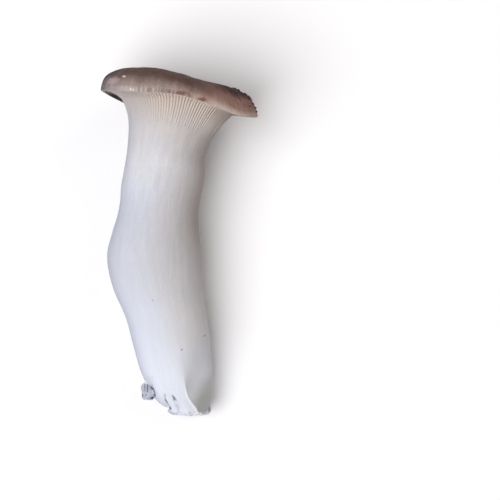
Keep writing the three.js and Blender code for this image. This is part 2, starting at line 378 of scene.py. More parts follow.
def flare_point(angle, t):
    angle, t = np.broadcast_arrays(angle, t)
    side = np.cos(angle)[..., None]
    knee = cap_point(angle, KNEE_RADIUS, by_side(KNEE_HEIGHT, side[..., 0]) + margin_height(angle) / 2)
    into_knee = outwards(angle) * math.sin(KNEE_TURN) + cap_axis * math.cos(KNEE_TURN)
    neck = stem_point(angle, NECK_Y)
    along_neck = unit(neck - stem_point(angle, NECK_Y - 0.5))
    flank = bezier(
        neck,
        neck + along_neck * by_side(FLANK_START, side),
        knee - into_knee * by_side(FLANK_END, side),
        knee,
        np.clip(t, 0, 1)[..., None],
    )
    radius, height = margin_radius(angle), margin_height(angle)
    underside = bezier(
        knee,
        knee + into_knee * UNDERSIDE_ARCH,
        cap_point(angle, mix(KNEE_RADIUS, radius, 0.7), height + UNDERSIDE_ARCH / 2),
        cap_point(angle, radius - 2 * LIP, height - LIP / 2),
        np.clip(t - 1, 0, 1)[..., None],
    )
    return np.where(t[..., None] < 1, flank, underside)


def gill_direction(angle, t):
    """The way a gill stands out of the flesh: outwards on the flank and down under the cap."""
    turn = ease(t, *GILLS_TURN)[..., None]
    return unit(outwards(angle) * (1 - turn) - cap_axis * turn)


def flesh_depth(angle, t):
    """How far the flesh lies behind the gills' free edges, in mm."""
    unworn = 1 - sum(worn * bell_round(angle, at, width) for at, width, worn in GILL_WEAR)
    return GILL_DEPTH * unworn * ease(t, FIRST_GILL, GILLS_FULL) * (1 - ease(t, GILLS_FADE, 2.0))


def flesh_point(angle, t):
    angle, t = np.broadcast_arrays(angle, t)
    depth = flesh_depth(angle, t)[..., None]
    return flare_point(angle, t) - gill_direction(angle, t) * depth


# %% [markdown]
# ## Rings for the whole body
#
# The body is one closed skin, drawn as rings of points from the middle of the foot's end, along
# the stem, up the flare, round the lip and over the cap to its middle. Each ring has the same
# number of points, so the faces between two rings are simple quads. The rings lie close together
# where the form turns fast. With each point go three numbers that the later steps need: its
# angle, its region and how far along that region it is.

# %% Rings for the whole body
SIDES = 296
STEM_RINGS, FLARE_RINGS, LIP_RINGS = 164, 56, 7
END_RINGS, SHOULDER_RINGS, CROWN_RINGS = 12, 46, 36
CLOSER_TO_FOOT = 1.6  # a power: above 1, the stem's rings crowd towards the foot
CROWN = 0.9  # the share of the cap's radius where the shoulder ends
FOOT_END, ON_STEM, ON_FLARE, ON_LIP, ON_CAP = range(5)
FOOT_MIDDLE = np.array([STEM[0, MIDDLE_X], FOOT_Y + 0.6, STEM[0, MIDDLE_Z]])

ANGLES = np.arange(SIDES) / SIDES * TURN


def lip_point(angle, turn):
    """Round the margin's edge: turn 0 is on the underside and 1 is where the brown skin starts."""
    radius, height = margin_radius(angle), margin_height(angle)
    return bezier(
        cap_point(angle, radius - 2 * LIP, height - LIP / 2),
        cap_point(angle, radius - LIP, height - 1.5 * LIP),
        cap_point(angle, radius + 0.1 * LIP, height - 1.2 * LIP),
        cap_point(angle, radius, height),
        turn,
    )


def body_rings():
    """A list of (region, place in the region, ring of points)."""
    rings = []
    first = stem_point(ANGLES, FOOT_Y)
    for share in np.linspace(0, 1, END_RINGS + 1)[1:-1]:
        rings.append((FOOT_END, share, mix(FOOT_MIDDLE, first, share)))
    for share in np.linspace(0, 1, STEM_RINGS) ** CLOSER_TO_FOOT:
        y = mix(FOOT_Y, NECK_Y, share)
        rings.append((ON_STEM, y, stem_point(ANGLES, y)))
    for t in np.linspace(0, 2, FLARE_RINGS + 1)[1:]:
        rings.append((ON_FLARE, t, flesh_point(ANGLES, t)))
    for turn in np.linspace(0, 1, LIP_RINGS + 2)[1:-1]:
        rings.append((ON_LIP, turn, lip_point(ANGLES, turn)))
    drops = np.linspace(0, (1 - CROWN**CAP_FULLNESS) ** (1 / CAP_ROUNDNESS), SHOULDER_RINGS)
    shoulder = (1 - drops**CAP_ROUNDNESS) ** (1 / CAP_FULLNESS)
    for share in [*shoulder, *np.linspace(CROWN, 0, CROWN_RINGS + 1)[1:-1]]:
        rings.append((ON_CAP, share, cap_top(ANGLES, share)))
    return rings


rings = body_rings()
points = np.stack([ring for _, _, ring in rings])
region = np.repeat([kind for kind, _, _ in rings], SIDES).reshape(len(rings), SIDES)
place = np.repeat([value for _, value, _ in rings], SIDES).reshape(len(rings), SIDES)
angle = np.broadcast_to(ANGLES, region.shape)
print(len(rings), "rings of", SIDES, "points")

# %% [markdown]
# ## What time and handling did to the surface
#
# A real mushroom isn't a smooth formula. Its stem has faint ridges along the fibres, its cap has
# dents, and its foot is folded, pitted and cut. These are moved into the mesh itself, along its
# normals, because they change the outline and catch the light. Only what is finer than the mesh
# is left to the materials.
#
# A stroke is one groove or ridge that runs between two places of the stem. Each place is an angle
# in degrees and a y. The strokes on the shown side are listed one by one, and the ones underneath
# are drawn at random from a fixed seed.

# %% Grooves, ridges and pits of the foot
FOOT_RADIUS = 12.0  # mm, turns an angle into a distance round the foot
FOOT_STROKES = [  # from (degrees, y) to (degrees, y), half width, height: below 0 is a groove
    ((121, -70.0), (132, -74.0), 0.42, -0.60),
    ((131, -73.6), (147, -77.4), 0.48, -1.20),
    ((115, -74.5), (125, -79.8), 1.00, 0.50),
    ((107, -71.0), (106, -73.0), 0.42, -1.10),
    ((110, -73.4), (116, -77.2), 0.60, -0.45),
    ((148, -69.5), (155, -76.0), 0.85, 0.80),
    ((160, -71.0), (170, -76.2), 0.80, 0.70),
    ((150, -77.4), (192, -78.3), 0.50, -1.60),
    ((168, -78.8), (168, -80.0), 0.90, 0.60),
    ((100, -76.5), (97, -80.8), 1.60, 0.35),
    ((86, -79.0), (84, -80.8), 0.80, -0.35),
    ((145, -66.0), (150, -69.5), 1.20, -0.40),
]
HIDDEN_STROKES = 12


def hidden_strokes():
    """Strokes on the underside. Each one runs from higher up the stem to the foot's end."""
    draw = np.random.default_rng(11)
    strokes = []
    for _ in range(HIDDEN_STROKES):
        start = draw.uniform(190, 345)
        drift = draw.uniform(-12, 12)
        top = draw.uniform(-74, -67)
        height = draw.choice([-0.8, -0.5, 0.4])
        strokes.append(((start, top), (start + drift, FOOT_Y), draw.uniform(0.6, 1.2), height))
    return strokes


def stroke_height(angle, y, stroke):
    """The height of one stroke over the surface, in mm."""
    (from_angle, from_y), (to_angle, to_y), half_width, height = stroke
    round_by = math.radians(to_angle - from_angle) * FOOT_RADIUS
    along_by = to_y - from_y
    round_at, along_at = away(angle, from_angle) * FOOT_RADIUS, y - from_y
    share = (round_at * round_by + along_at * along_by) / (round_by**2 + along_by**2)
    share = np.clip(share, 0, 1)
    gap = np.hypot(round_at - share * round_by, along_at - share * along_by)
    return height * bell(gap, half_width)


def foot_relief():
    y = np.where(region == FOOT_END, FOOT_Y, place)
    shown = (region == ON_STEM) | (region == FOOT_END)
    relief = sum(stroke_height(angle, y, s) for s in FOOT_STROKES + hidden_strokes())
    inwards = np.where(region == FOOT_END, ease(place, 0.2, 1.0), 1.0)
    return np.where(shown, relief * inwards, 0)


foot = foot_relief()
print("foot relief, mm:", np.round((foot.min(), foot.max()), 2))

# %% [markdown]
# ## Fibres, dents and the torn shoulder
#
# Fibres run along the stem, so their noise is stretched: it changes fast round the stem and
# slowly along it. Reading it from the cosine and sine of the angle closes it without a seam.
# The cap has broad dents, and low ridges that run out to the margin. Its +X shoulder is rough,
# where the skin has dried and cracked into small teeth.

# %% Fibres, dents and the torn shoulder
FIBRE_RELIEF, DENT_RELIEF, RADIAL_RELIEF, TOOTH_RELIEF = 0.05, 0.30, 0.14, 0.8
SHOULDER_WEAR, TEAR_DEPTH = 0.40, 1.5  # mm
# how fast the noise changes round the form and along it
BROAD_FIBRES, FINE_FIBRES, CAP_RIDGES = (2.4, 1 / 28), (8.5, 1 / 20), (13, 1.5)
DENT_SIZES, TOOTH_SIZES, TEAR_SIZES = (9.0, 4.0), (1.5, 0.7), (1.9, 0.8)  # mm, large and small
FLARE_LENGTH = 16.0  # mm along the fibres, from the neck to the knee
TEAR_TOP_Y = -78.2

# sides are cosines of the angle, 1 at +X, and bands run from the cap's middle (0) to its margin (1)
RIDGE_BAND, RIM_BAND = (0.72, 0.97), (0.985, 1.0)
TOOTH_SIDE, TOOTH_BAND = (0.45, 0.8), (0.72, 0.88)
WEAR_SIDE, WEAR_BAND = (0.35, 0.85), (0.15, 0.40)


def round_and_along(along, round_scale, along_scale):
    """Points for wobble that close round the stem or the cap."""
    x, y = np.cos(angle) * round_scale, np.sin(angle) * round_scale
    return np.stack([x, y, along * along_scale], axis=-1)


def blotchy(sizes, shift, small_share=0.5):
    """Noise of two sizes in mm, a large one and a weaker small one, at the body's points."""
    large, small = sizes
    return wobble(points / large, shift) + small_share * wobble(points / small, shift + 1)


def flare_y(t):
    """The y that a place up the flare would have if the stem ran on straight."""
    return NECK_Y + FLARE_LENGTH * t


def stem_relief():
    on_stem = (region == ON_STEM) | (region == ON_FLARE) & (place < 1)
    y = np.where(region == ON_STEM, place, flare_y(place))
    broad = wobble(round_and_along(y, *BROAD_FIBRES), 1)
    fine = wobble(round_and_along(y, *FINE_FIBRES), 2)
    fade = np.where(region == ON_FLARE, 1 - ease(place, 0, 0.4), 1)
    return np.where(on_stem, (2.2 * broad + fine) * FIBRE_RELIEF * fade, 0)


def cap_relief():
    on_cap = region == ON_CAP
    side = np.cos(angle)
    dents = blotchy(DENT_SIZES, 3)
    ridges = wobble(round_and_along(place, *CAP_RIDGES), 5) * ease(place, *RIDGE_BAND)
    shoulder = ease(side, *TOOTH_SIDE) * ease(place, *TOOTH_BAND)
    teeth = np.clip(blotchy(TOOTH_SIZES, 6) - 0.30, -0.45, 0.55) * shoulder
    fade = 1 - ease(place, *RIM_BAND)
    worn = SHOULDER_WEAR * ease(side, *WEAR_SIDE) * ease(place, *WEAR_BAND)
    smooth = DENT_RELIEF * dents + RADIAL_RELIEF * ridges - worn
    lower_at_margin = 1 - 0.7 * ease(place, 0.99, 1)
    return np.where(on_cap, smooth * fade + TOOTH_RELIEF * teeth * lower_at_margin, 0)


def grid_normals(grid):
    along = np.gradient(grid, axis=0)
    around = np.roll(grid, -1, axis=1) - np.roll(grid, 1, axis=1)
    return unit(np.cross(along, around))


def torn_end():
    """How far the foot's edge is drawn back along the stem, in mm, where it tore off its bed."""
    on_end = (region == FOOT_END) * ease(place, 0.55, 1)
    edge = np.where(region == ON_STEM, 1 - ease(place, FOOT_Y, TEAR_TOP_Y), on_end)
    return TEAR_DEPTH * edge * np.clip(1.3 * blotchy(TEAR_SIZES, 31, 0.4) + 0.35, 0, 1)


relief = foot + stem_relief() + cap_relief()
points = points + grid_normals(points) * relief[..., None]
points[..., 1] += torn_end()
print("relief of the whole body, mm:", np.round((relief.min(), relief.max()), 2))

# %% [markdown]
# ## The knife's cut
#
# The picker trimmed the foot with one pass of a knife, which left a shallow hollow facet on the
# +X side. The blade's path is a large cylinder, and every point inside it is pushed out to its
# face. A Boolean modifier would do the same, but it would break the rings. The cut skin curls up
# a little along the facet's upper edge, which gives the bright lip there.

# %% The knife's cut
CUT_MIDDLE = np.array([4.1, -66.8, 26.1])
CUT_NORMAL = unit(np.array([0.75, -0.205, 0.63]))
CUT_RADIUS = 100
CURL_HEIGHT, CURL_WIDTH = 0.34, 0.42
CURL_FROM, CURL_FULL = math.radians(40), math.radians(62)  # places round the stem
CREASE_SOFTNESS = 1.8
CUT_TOP_Y = -30  # mm, no point above this is cut
ABOVE_CUT_Y = -61.3  # the row of the stem's table just above the cut's middle
UNCUT = -99.0  # mm, the depth given to points that the blade can't reach


def cut_depth(grid):
    """How far inside the blade's cylinder each point is, and the way out of it, both in mm."""
    row = STEM[STEM[:, ALONG] == ABOVE_CUT_Y][0]
    middle = [MIDDLE_X, ALONG, MIDDLE_Z]
    foot_line = row[middle] - STEM[0, middle]
    axis = unit(np.cross(CUT_NORMAL, foot_line))
    from_axis = grid - (CUT_MIDDLE + CUT_NORMAL * CUT_RADIUS)
    from_axis = from_axis - (from_axis @ axis)[..., None] * axis
    distance = np.linalg.norm(from_axis, axis=-1)
    near = np.isin(region, (FOOT_END, ON_STEM)) & (points[..., 1] < CUT_TOP_Y)
    return np.where(near, CUT_RADIUS - distance, UNCUT), from_axis / distance[..., None]


depth_in_cut, way_out = cut_depth(points)
upper_edge = ease(angle, CURL_FROM, CURL_FULL) * ease(-points[..., 1], 61, 73)
curl = CURL_HEIGHT * bell(depth_in_cut, CURL_WIDTH) * upper_edge * (angle < math.pi)
softness = mix(0.05, CREASE_SOFTNESS, ease(points[..., 1], -66, -52))  # mm, how round the crease is
push = softness * np.logaddexp(0, depth_in_cut / softness) * (depth_in_cut > UNCUT)
points = points + way_out * push[..., None] - way_out * curl[..., None]
cut_mask = ease(depth_in_cut, -0.05, 0.25) * (1 - ease(points[..., 1], -60, -46))
print("deepest cut, mm:", round(float(depth_in_cut.max()), 2), "facet points:", int((cut_mask > 0.5).sum()))

# %% [markdown]
# ## Close the skin
#
# The part of the body that would be below the table is flattened onto it, which makes the small
# flats that the mushroom rests on. Then the rings become one mesh, with a single point to close
# each end. The faces are numbered so that they look outwards. The sum of the signed volumes of
# the faces tells whether they do: it is above 0 only when they point out.

# %% Close the skin
def signed_volume(mesh):
    mesh.calc_loop_triangles()
    corners = np.empty(len(mesh.loop_triangles) * 3, dtype=np.int32)
    mesh.loop_triangles.foreach_get("vertices", corners)
    places = np.empty(len(mesh.vertices) * 3)
    mesh.vertices.foreach_get("co", places)
    a, b, c = places.reshape(-1, 3)[corners.reshape(-1, 3)].transpose(1, 0, 2)
    return float(np.einsum("ij,ij->i", a, np.cross(b, c)).sum() / 6)


def ring_faces(ring_count):
    """Quads between the rings, and a fan of triangles at each end's closing point."""
    i = np.arange(SIDES)
    after = (i + 1) % SIDES
    faces = []
    for ring in range(ring_count - 1):
        low, high = ring * SIDES, (ring + 1) * SIDES
        faces += np.stack([low + i, high + i, high + after, low + after], axis=1).tolist()
    last = (ring_count - 1) * SIDES
    foot_tip, cap_tip = ring_count * SIDES, ring_count * SIDES + 1
    faces += [(foot_tip, a, b) for a, b in zip(i.tolist(), after.tolist())]
    faces += [(last + a, cap_tip, last + b) for a, b in zip(i.tolist(), after.tolist())]
    return faces


def add_values(mesh, name, values):
    """Stores one number or one vector for each point of a mesh."""
    kind, field = ("FLOAT", "value") if values.ndim == 1 else ("FLOAT_VECTOR", "vector")
    attribute = mesh.attributes.new(name, kind, "POINT")
    attribute.data.foreach_set(field, values.astype(np.float32).ravel())


def new_piece(name, mesh):
    piece = bpy.data.objects.new(name, mesh)
    bpy.context.collection.objects.link(piece)
    return piece


def with_ends(values, foot_value, cap_value):
    """Values of the rings' points as one list, with those of the two closing points."""
    flat = values.reshape(-1, *values.shape[2:])
    return np.concatenate([flat, [foot_value], [cap_value]])


flesh_inside = np.clip(points, LOW / MM, HIGH / MM)
all_points = with_ends(flesh_inside, FOOT_MIDDLE, cap_top(np.array(0.0), np.array(0.0)))
body_mesh = bpy.data.meshes.new("mushroom_body")
body_mesh.from_pydata((all_points * MM).tolist(), [], ring_faces(len(rings)))
body_mesh.shade_smooth()
body = new_piece("mushroom_body", body_mesh)
print("body:", len(body_mesh.polygons), "faces,", round(signed_volume(body_mesh) * 1e6, 1), "cm3")

# %% [markdown]
# ## Numbers that the materials read
#
# A material can only follow the form if the form tells it where it is. So each point of the body
# carries a few named values. They are smooth numbers, not colours, so they stay sharp however
# the finish is changed:
#
# - `grain`: the cosine and sine of its angle, and how far along it is
# - `gill_zone`, `cut`, `foot`, `end_grain`: how much it belongs to that part
# - `lip_line`: how near it is to the curled edge of the cut
# - `hollow`: how deep it lies in a fold, in mm
# - painted shade and `creamy`: how grey the skin is painted where shade falls, and how cream it is
# - `rise`: how far up the cap's dome it is

# %% Numbers that the materials read
GRAIN_STEP = 18.0  # mm along the stem that count as much as the stem's radius
# painted shade: how grey the skin is painted underneath, by side and at the foot, and beside the neck
PAINTED_SHADE_LEFT, PAINTED_SHADE_RIGHT, PAINTED_SHADE_FOOT = 0.64, 0.42, 0.20  # underneath: -X side, +X side, its foot
PAINTED_SHADE_BESIDE = 0.58  # the neck's +X side


def grain_along():
    along = np.where(region == FOOT_END, FOOT_Y, place) / GRAIN_STEP
    along = np.where(region == ON_FLARE, flare_y(place) / GRAIN_STEP, along)
    return np.where(region >= ON_LIP, np.where(region == ON_CAP, place, 1.0), along)


def cap_rise():
    """How far up the dome each point of the cap's skin is: 0 at the margin and 1 on the crown."""
    share = np.where(region == ON_CAP, place, 1.0)
    return (1 - share**CAP_FULLNESS) ** (1 / CAP_ROUNDNESS)


def gill_share(t):
    """How much a place up the flare belongs to the gills."""
    return ease(t, 0.25, 1.2)


def painted_shade_share(kind, place, angle):
    """How much painted shade greys the skin, 0 to 1: it is painted on the lower side, most on
    the -X side, and round the neck's +X side."""
    on_stem = kind <= ON_STEM
    below = (1 - ease(np.sin(angle), 0.05, 0.85)) * np.where(on_stem, 1, 1 - ease(place, 0.5, 1.1))
    to_foot = np.where(on_stem, 1 - ease(place, -45, -5), 0)
    to_right = ease(np.cos(angle), -0.3, 0.3)
    below = below * mix(PAINTED_SHADE_LEFT, mix(PAINTED_SHADE_RIGHT, PAINTED_SHADE_FOOT, to_foot), to_right)
    on_neck = np.where(kind == ON_STEM, ease(place, -18, 12), 1 - ease(place, 0.3, 0.9))
    beside = PAINTED_SHADE_BESIDE * on_neck * bell_round(angle, 12, 42)
    return np.where(kind <= ON_FLARE, 1 - (1 - below) * (1 - beside), 0)


def body_values():
    on_end = region == FOOT_END
    with_tips = {  # values of the rings' points, and those of the foot's and the cap's closing point
        "grain": (np.stack([np.cos(angle), np.sin(angle), grain_along()], axis=-1),
                  (1, 0, FOOT_Y / GRAIN_STEP), (1, 0, 0)),
        "gill_zone": (np.where(region == ON_FLARE, gill_share(place), (region == ON_LIP) * 1.0), 0, 0),
        "cut": (cut_mask, 0, 0),
        "lip_line": (curl / CURL_HEIGHT, 0, 0),
        "hollow": (np.clip(-foot, 0, None) * (1 - cut_mask), 0, 0),
        "foot": (np.where(region == ON_STEM, 1 - ease(place, -69, -55), on_end * 1.0), 1, 0),
        # painted shade on the stem's lower side and round the neck's +X side
        "painted_shade": (painted_shade_share(region, place, angle), 0, 0),
        "creamy": (bell_round(angle, 92, 36), 0, 0),
        "rise": (cap_rise(), 0, 1),
        "end_grain": (np.where(on_end, 1 - ease(place, 0.7, 1), 0), 1, 0),
    }
    return {name: with_ends(*values) for name, values in with_tips.items()}


BODY_VALUES = body_values()
for name, values in BODY_VALUES.items():
    add_values(body_mesh, name, values)
print("values on the body:", ", ".join(BODY_VALUES))

# %% [markdown]
# ## Node trees, one line a node
#
# The gills and the materials are node trees. Built by hand in the editor they'd be quick to see
# but hard to keep, so they are written out. `add_node` makes a node, gives it settings, and sets
# or joins its inputs by name. Sockets of a group are made with `interface.new_socket`. The other
# tools are short names for nodes that are used again and again.

# %% Node tools
def live_socket(sockets, key):
    """The socket with a name, or with a number. A node may hide others that share the name."""
    if isinstance(key, int):
        return sockets[key]
    return next(s for s in sockets if s.name == key and s.enabled)


def add_node(tree, kind, inputs=(), **settings):
    node = tree.nodes.new(kind)
    for name, value in settings.items():
        setattr(node, name, value)
    for key, value in dict(inputs).items():
        socket = live_socket(node.inputs, key)
        if isinstance(value, bpy.types.NodeSocket):
            tree.links.new(value, socket)
        else:
            socket.default_value = value
    return node


def new_group(kind, name, inputs, outputs):
    """A node group with named sockets. Inputs are (name, type, default), outputs (name, type)."""
    tree = bpy.data.node_groups.new(name, kind)
    for side, sockets in (("INPUT", inputs), ("OUTPUT", outputs)):
        for label, short_type, *default in sockets:
            socket_type = "NodeSocket" + short_type
            socket = tree.interface.new_socket(label, in_out=side, socket_type=socket_type)
            if default:
                socket.default_value = default[0]
    return tree, tree.nodes.new("NodeGroupInput").outputs, tree.nodes.new("NodeGroupOutput").inputs


def maths(tree, operation, a, b=0.0, c=0.0, clamp=False):
    inputs = {0: a, 1: b, 2: c}
    return add_node(tree, "ShaderNodeMath", inputs, operation=operation, use_clamp=clamp).outputs[0]


def product(tree, first, *others):
    """All the values multiplied together."""
    for value in others:
        first = maths(tree, "MULTIPLY", first, value)
    return first


def part_of(tree, vector, axis):
    return add_node(tree, "ShaderNodeSeparateXYZ", {0: vector}).outputs[axis]


def packed(tree, x, y, z=0.0):
    return add_node(tree, "ShaderNodeCombineXYZ", {0: x, 1: y, 2: z}).outputs[0]


def vector_maths(tree, operation, a, b=(0, 0, 0)):
    node = add_node(tree, "ShaderNodeVectorMath", {0: a, 1: b}, operation=operation)
    return node.outputs["Value" if operation == "LENGTH" else "Vector"]


def scaled(tree, vector, amount):
    node = add_node(tree, "ShaderNodeVectorMath", {0: vector, "Scale": amount}, operation="SCALE")
    return node.outputs["Vector"]


def eased(tree, value, start, end, low=0.0, high=1.0):
    """The same smooth switch as ease, as a node."""
    inputs = {"Value": value, "From Min": start, "From Max": end, "To Min": low, "To Max": high}
    node = add_node(tree, "ShaderNodeMapRange", inputs, interpolation_type="SMOOTHSTEP")
    return node.outputs["Result"]


# %% [markdown]
# ## Effects that the finishes share
#
# Three small groups are used again and again. `streaks` is noise stretched along the fibres,
# read from `grain`, so it follows the form and closes without a seam. `mottle` is soft blotches
# of a given size in metres. `spot` is one blotch at a chosen place, with an uneven rim. Each puts
# out a mask from 0 to 1, and the material decides what colour or height to make of it.

# %% The shared effects
MASK = [("Mask", "Float")]
RAGGED_SCALE = 900.0  # the noise that makes a spot's rim uneven, per metre


def contrasted(tree, noise_value, contrast):
    """Noise gathers round a half. This spreads it, and a higher contrast spreads it further."""
    gain = product(tree, contrast, 4.0)
    return maths(tree, "MULTIPLY_ADD", maths(tree, "SUBTRACT", noise_value, 0.5), gain, 0.5, clamp=True)


def noise_at(tree, vector, scale, detail, roughness=0.5):
    inputs = {"Vector": vector, "Scale": scale, "Detail": detail, "Roughness": roughness}
    return add_node(tree, "ShaderNodeTexNoise", inputs).outputs[0]


def streaks_group():
    inputs = [
        ("Grain", "Vector"),
        ("Across", "Float", 9.0),
        ("Along", "Float", 1.5),
        ("Contrast", "Float", 0.6),
    ]
    tree, given, result = new_group("ShaderNodeTree", "streaks", inputs, MASK)
    scales = packed(tree, given["Across"], given["Across"], given["Along"])
    stretched = vector_maths(tree, "MULTIPLY", given["Grain"], scales)
    fibres = noise_at(tree, stretched, 1.0, 3.0, 0.6)
    tree.links.new(contrasted(tree, fibres, given["Contrast"]), result[0])
    return tree


def mottle_group():
    inputs = [
        ("Vector", "Vector"),
        ("Size", "Float", 0.008),
        ("Contrast", "Float", 0.6),
        ("Shift", "Float", 0.0),
    ]
    tree, given, result = new_group("ShaderNodeTree", "mottle", inputs, MASK)
    in_sizes = scaled(tree, given["Vector"], maths(tree, "DIVIDE", 1.0, given["Size"]))
    moved = vector_maths(tree, "ADD", in_sizes, given["Shift"])
    blotches = noise_at(tree, moved, 1.0, 4.0, 0.55)
    tree.links.new(contrasted(tree, blotches, given["Contrast"]), result[0])
    return tree


def spot_group():
    inputs = [
        ("Vector", "Vector"),
        ("Centre", "Vector"),
        ("Half Size", "Vector"),
        ("Raggedness", "Float", 0.3),
    ]
    tree, given, result = new_group("ShaderNodeTree", "spot", inputs, MASK)
    off = vector_maths(tree, "SUBTRACT", given["Vector"], given["Centre"])
    off = vector_maths(tree, "LENGTH", vector_maths(tree, "DIVIDE", off, given["Half Size"]))
    ragged = maths(tree, "SUBTRACT", noise_at(tree, given["Vector"], RAGGED_SCALE, 2.0), 0.5)
    gain = product(tree, given["Raggedness"], 4.0)
    distance = maths(tree, "MULTIPLY_ADD", ragged, gain, off)
    tree.links.new(eased(tree, distance, 1.30, 0.40), result[0])
    return tree


STREAKS, MOTTLE, SPOT = streaks_group(), mottle_group(), spot_group()
print("shared effects:", STREAKS.name + ",", MOTTLE.name + ",", SPOT.name)


# %% [markdown]
# ## Tools for the finishes
#
# A finish is built up in layers, as a painter would: a ground, then one tint over another, each
# where a mask lets it through. `painted` lays one such tint. Colours are written as they look on
# a screen, and turned into Blender's linear values.

# %% Tools for the finishes
def tint(code):
    """A colour as it looks on a screen, such as "E8E4E0", in Blender's linear values."""
    screen = [int(code[i:i + 2], 16) / 255 for i in (0, 2, 4)]
    linear = [((c + 0.055) / 1.055) ** 2.4 if c > 0.04045 else c / 12.92 for c in screen]
    return (*linear, 1.0)


def effect(tree, group, inputs):
    return add_node(tree, "ShaderNodeGroup", inputs, node_tree=group).outputs[0]


def mottled(tree, here, size, contrast, shift):
    """Blotches of a size in metres. Each use has a shift of its own, so that no two agree."""
    return effect(tree, MOTTLE, {"Vector": here, "Size": size, "Contrast": contrast, "Shift": shift})


def streaked(tree, grain, across, along, contrast):
    return effect(tree, STREAKS, {"Grain": grain, "Across": across, "Along": along, "Contrast": contrast})


def spotted(tree, here, centre, half_size):
    return effect(tree, SPOT, {"Vector": here, "Centre": centre, "Half Size": half_size})


def value_of(tree, name):
    """One of the numbers that the mesh carries."""
    return add_node(tree, "ShaderNodeAttribute", attribute_name=name).outputs["Fac"]


def vector_of(tree, name):
    return add_node(tree, "ShaderNodeAttribute", attribute_name=name).outputs["Vector"]


def blended(tree, share, a, b):
    inputs = {"Factor": share, "A": a, "B": b}
    return live_socket(add_node(tree, "ShaderNodeMix", inputs, data_type="RGBA").outputs, "Result")


def painted(tree, colour, code, share, strength=1.0):
    """A colour with a tint laid over it, as far as the share and the strength say."""
    share = share if strength == 1.0 else product(tree, share, strength)
    return blended(tree, share, colour, tint(code))


def new_finish(name, specular, subsurface=0.0, subsurface_depth=0.002):
    """A material, its node tree, its shader and where on the object each point is."""
    material = bpy.data.materials.new(name)
    material.use_nodes = True
    tree = material.node_tree
    shader = tree.nodes["Principled BSDF"]
    shader.inputs["Specular IOR Level"].default_value = specular
    shader.inputs["Subsurface Weight"].default_value = subsurface
    shader.inputs["Subsurface Scale"].default_value = subsurface_depth
    shader.inputs["Subsurface Radius"].default_value = (1.0, 0.8, 0.6)
    spot_on_object = tree.nodes.new("ShaderNodeTexCoord").outputs["Object"]
    return material, tree, shader, spot_on_object


def finish_surface(tree, shader, colour, roughness, height, relief):
    """Joins the shader. Relief is how high the bumps stand, in metres."""
    bump = add_node(tree, "ShaderNodeBump", {"Height": height, "Distance": relief, "Strength": 1.0})
    tree.links.new(colour, shader.inputs["Base Color"])
    tree.links.new(roughness, shader.inputs["Roughness"])
    tree.links.new(bump.outputs[0], shader.inputs["Normal"])


# %% [markdown]
# ## White flesh
#
# The stem's skin is silky: white with a breath of lilac and green-grey, and fine fibres along
# it. Its -X side is painted a little bluer and its +X side a little warmer, a painted tint of the
# cool light from the left, and the foot is the whitest. Its lower side and the neck's +X side are
# greyer with painted shade. It lets some light in, so it has a little subsurface scattering, set
# on the shader itself. Towards the gills the flesh turns to cream in the middle and to a grey of
# painted shade beside it. The knife's cut is smoother and greyer, with painted shade that darkens
# it towards the foot's end, its curled edge is almost pure white, and the folds of the foot are
# darkened with painted shade.

# %% The skin's tone along the stem
STEM_ZONES = {  # y in metres: where a zone of the skin begins, and where it is full
    "neck": (0.018, 0.040),
    "under the gills": (0.037, 0.050),
    "belly from above": (0.034, 0.012),
    "belly from below": (-0.040, -0.008),
    "foot": (-0.036, -0.066),
}
FIBRE_SHARE, FINE_FIBRE_SHARE, NAP_SHARE = 0.13, 0.085, 0.05


def flesh_tone(tree, here):
    """The skin's colour before any marks, and the fibre masks. The gills' feet share it."""
    grain = vector_of(tree, "grain")
    lilac, green = mottled(tree, here, 0.020, 0.7, 1.0), mottled(tree, here, 0.011, 0.7, 7.0)
    nap = mottled(tree, here, 0.0014, 0.8, 17.0)
    broad, fine = streaked(tree, grain, 7.0, 1.1, 0.6), streaked(tree, grain, 32.0, 3.2, 0.7)
    along, side = part_of(tree, here, "Y"), part_of(tree, grain, "X")
    underneath = eased(tree, part_of(tree, grain, "Y"), 0.15, -0.55)
    zones = {name: eased(tree, along, start, full) for name, (start, full) in STEM_ZONES.items()}

    colour = blended(tree, lilac, tint("D8D6D8"), tint("CECED9"))
    colour = painted(tree, colour, "C9CFCC", green, 0.5)
    # a painted tint of light: the -X side cooler and the +X side warmer, as the cool window on the left
    # tints them
    left = blended(tree, underneath, tint("C9D1E3"), tint("CCCED6"))
    painted_light_and_zone_tone = blended(tree, eased(tree, side, -0.8, 0.8), left, tint("D0CCCC"))
    painted_light_and_zone_tone = painted(tree, painted_light_and_zone_tone, "D8D6D8", zones["neck"])
    painted_light_and_zone_tone = painted(tree, painted_light_and_zone_tone, "C6C1BF", zones["under the gills"])
    colour = blended(tree, 0.55, colour, painted_light_and_zone_tone)
    at_belly = product(tree, zones["belly from above"], zones["belly from below"])
    colour = painted(tree, colour, "B9B8BC", at_belly, 0.36)
    colour = painted(tree, colour, "DDE1EB", zones["foot"], 0.75)

    # the grey of the painted shade, which the fibres also take
    left_shade_grey = blended(tree, underneath, tint("9093A4"), tint("96969E"))
    painted_shade = blended(tree, eased(tree, side, -0.4, 0.4), left_shade_grey, tint("8C807A"))
    worn = eased(tree, along, 0.045, -0.062, 1.6, 0.45)
    for mask, strength in ((broad, FIBRE_SHARE), (fine, FINE_FIBRE_SHARE), (nap, NAP_SHARE)):
        colour = blended(tree, product(tree, mask, strength, worn), colour, painted_shade)
    # painted shade: greyer on the lower side and round the neck's +X side
    colour = blended(tree, value_of(tree, "painted_shade"), colour, painted_shade)
    return colour, broad, fine, green


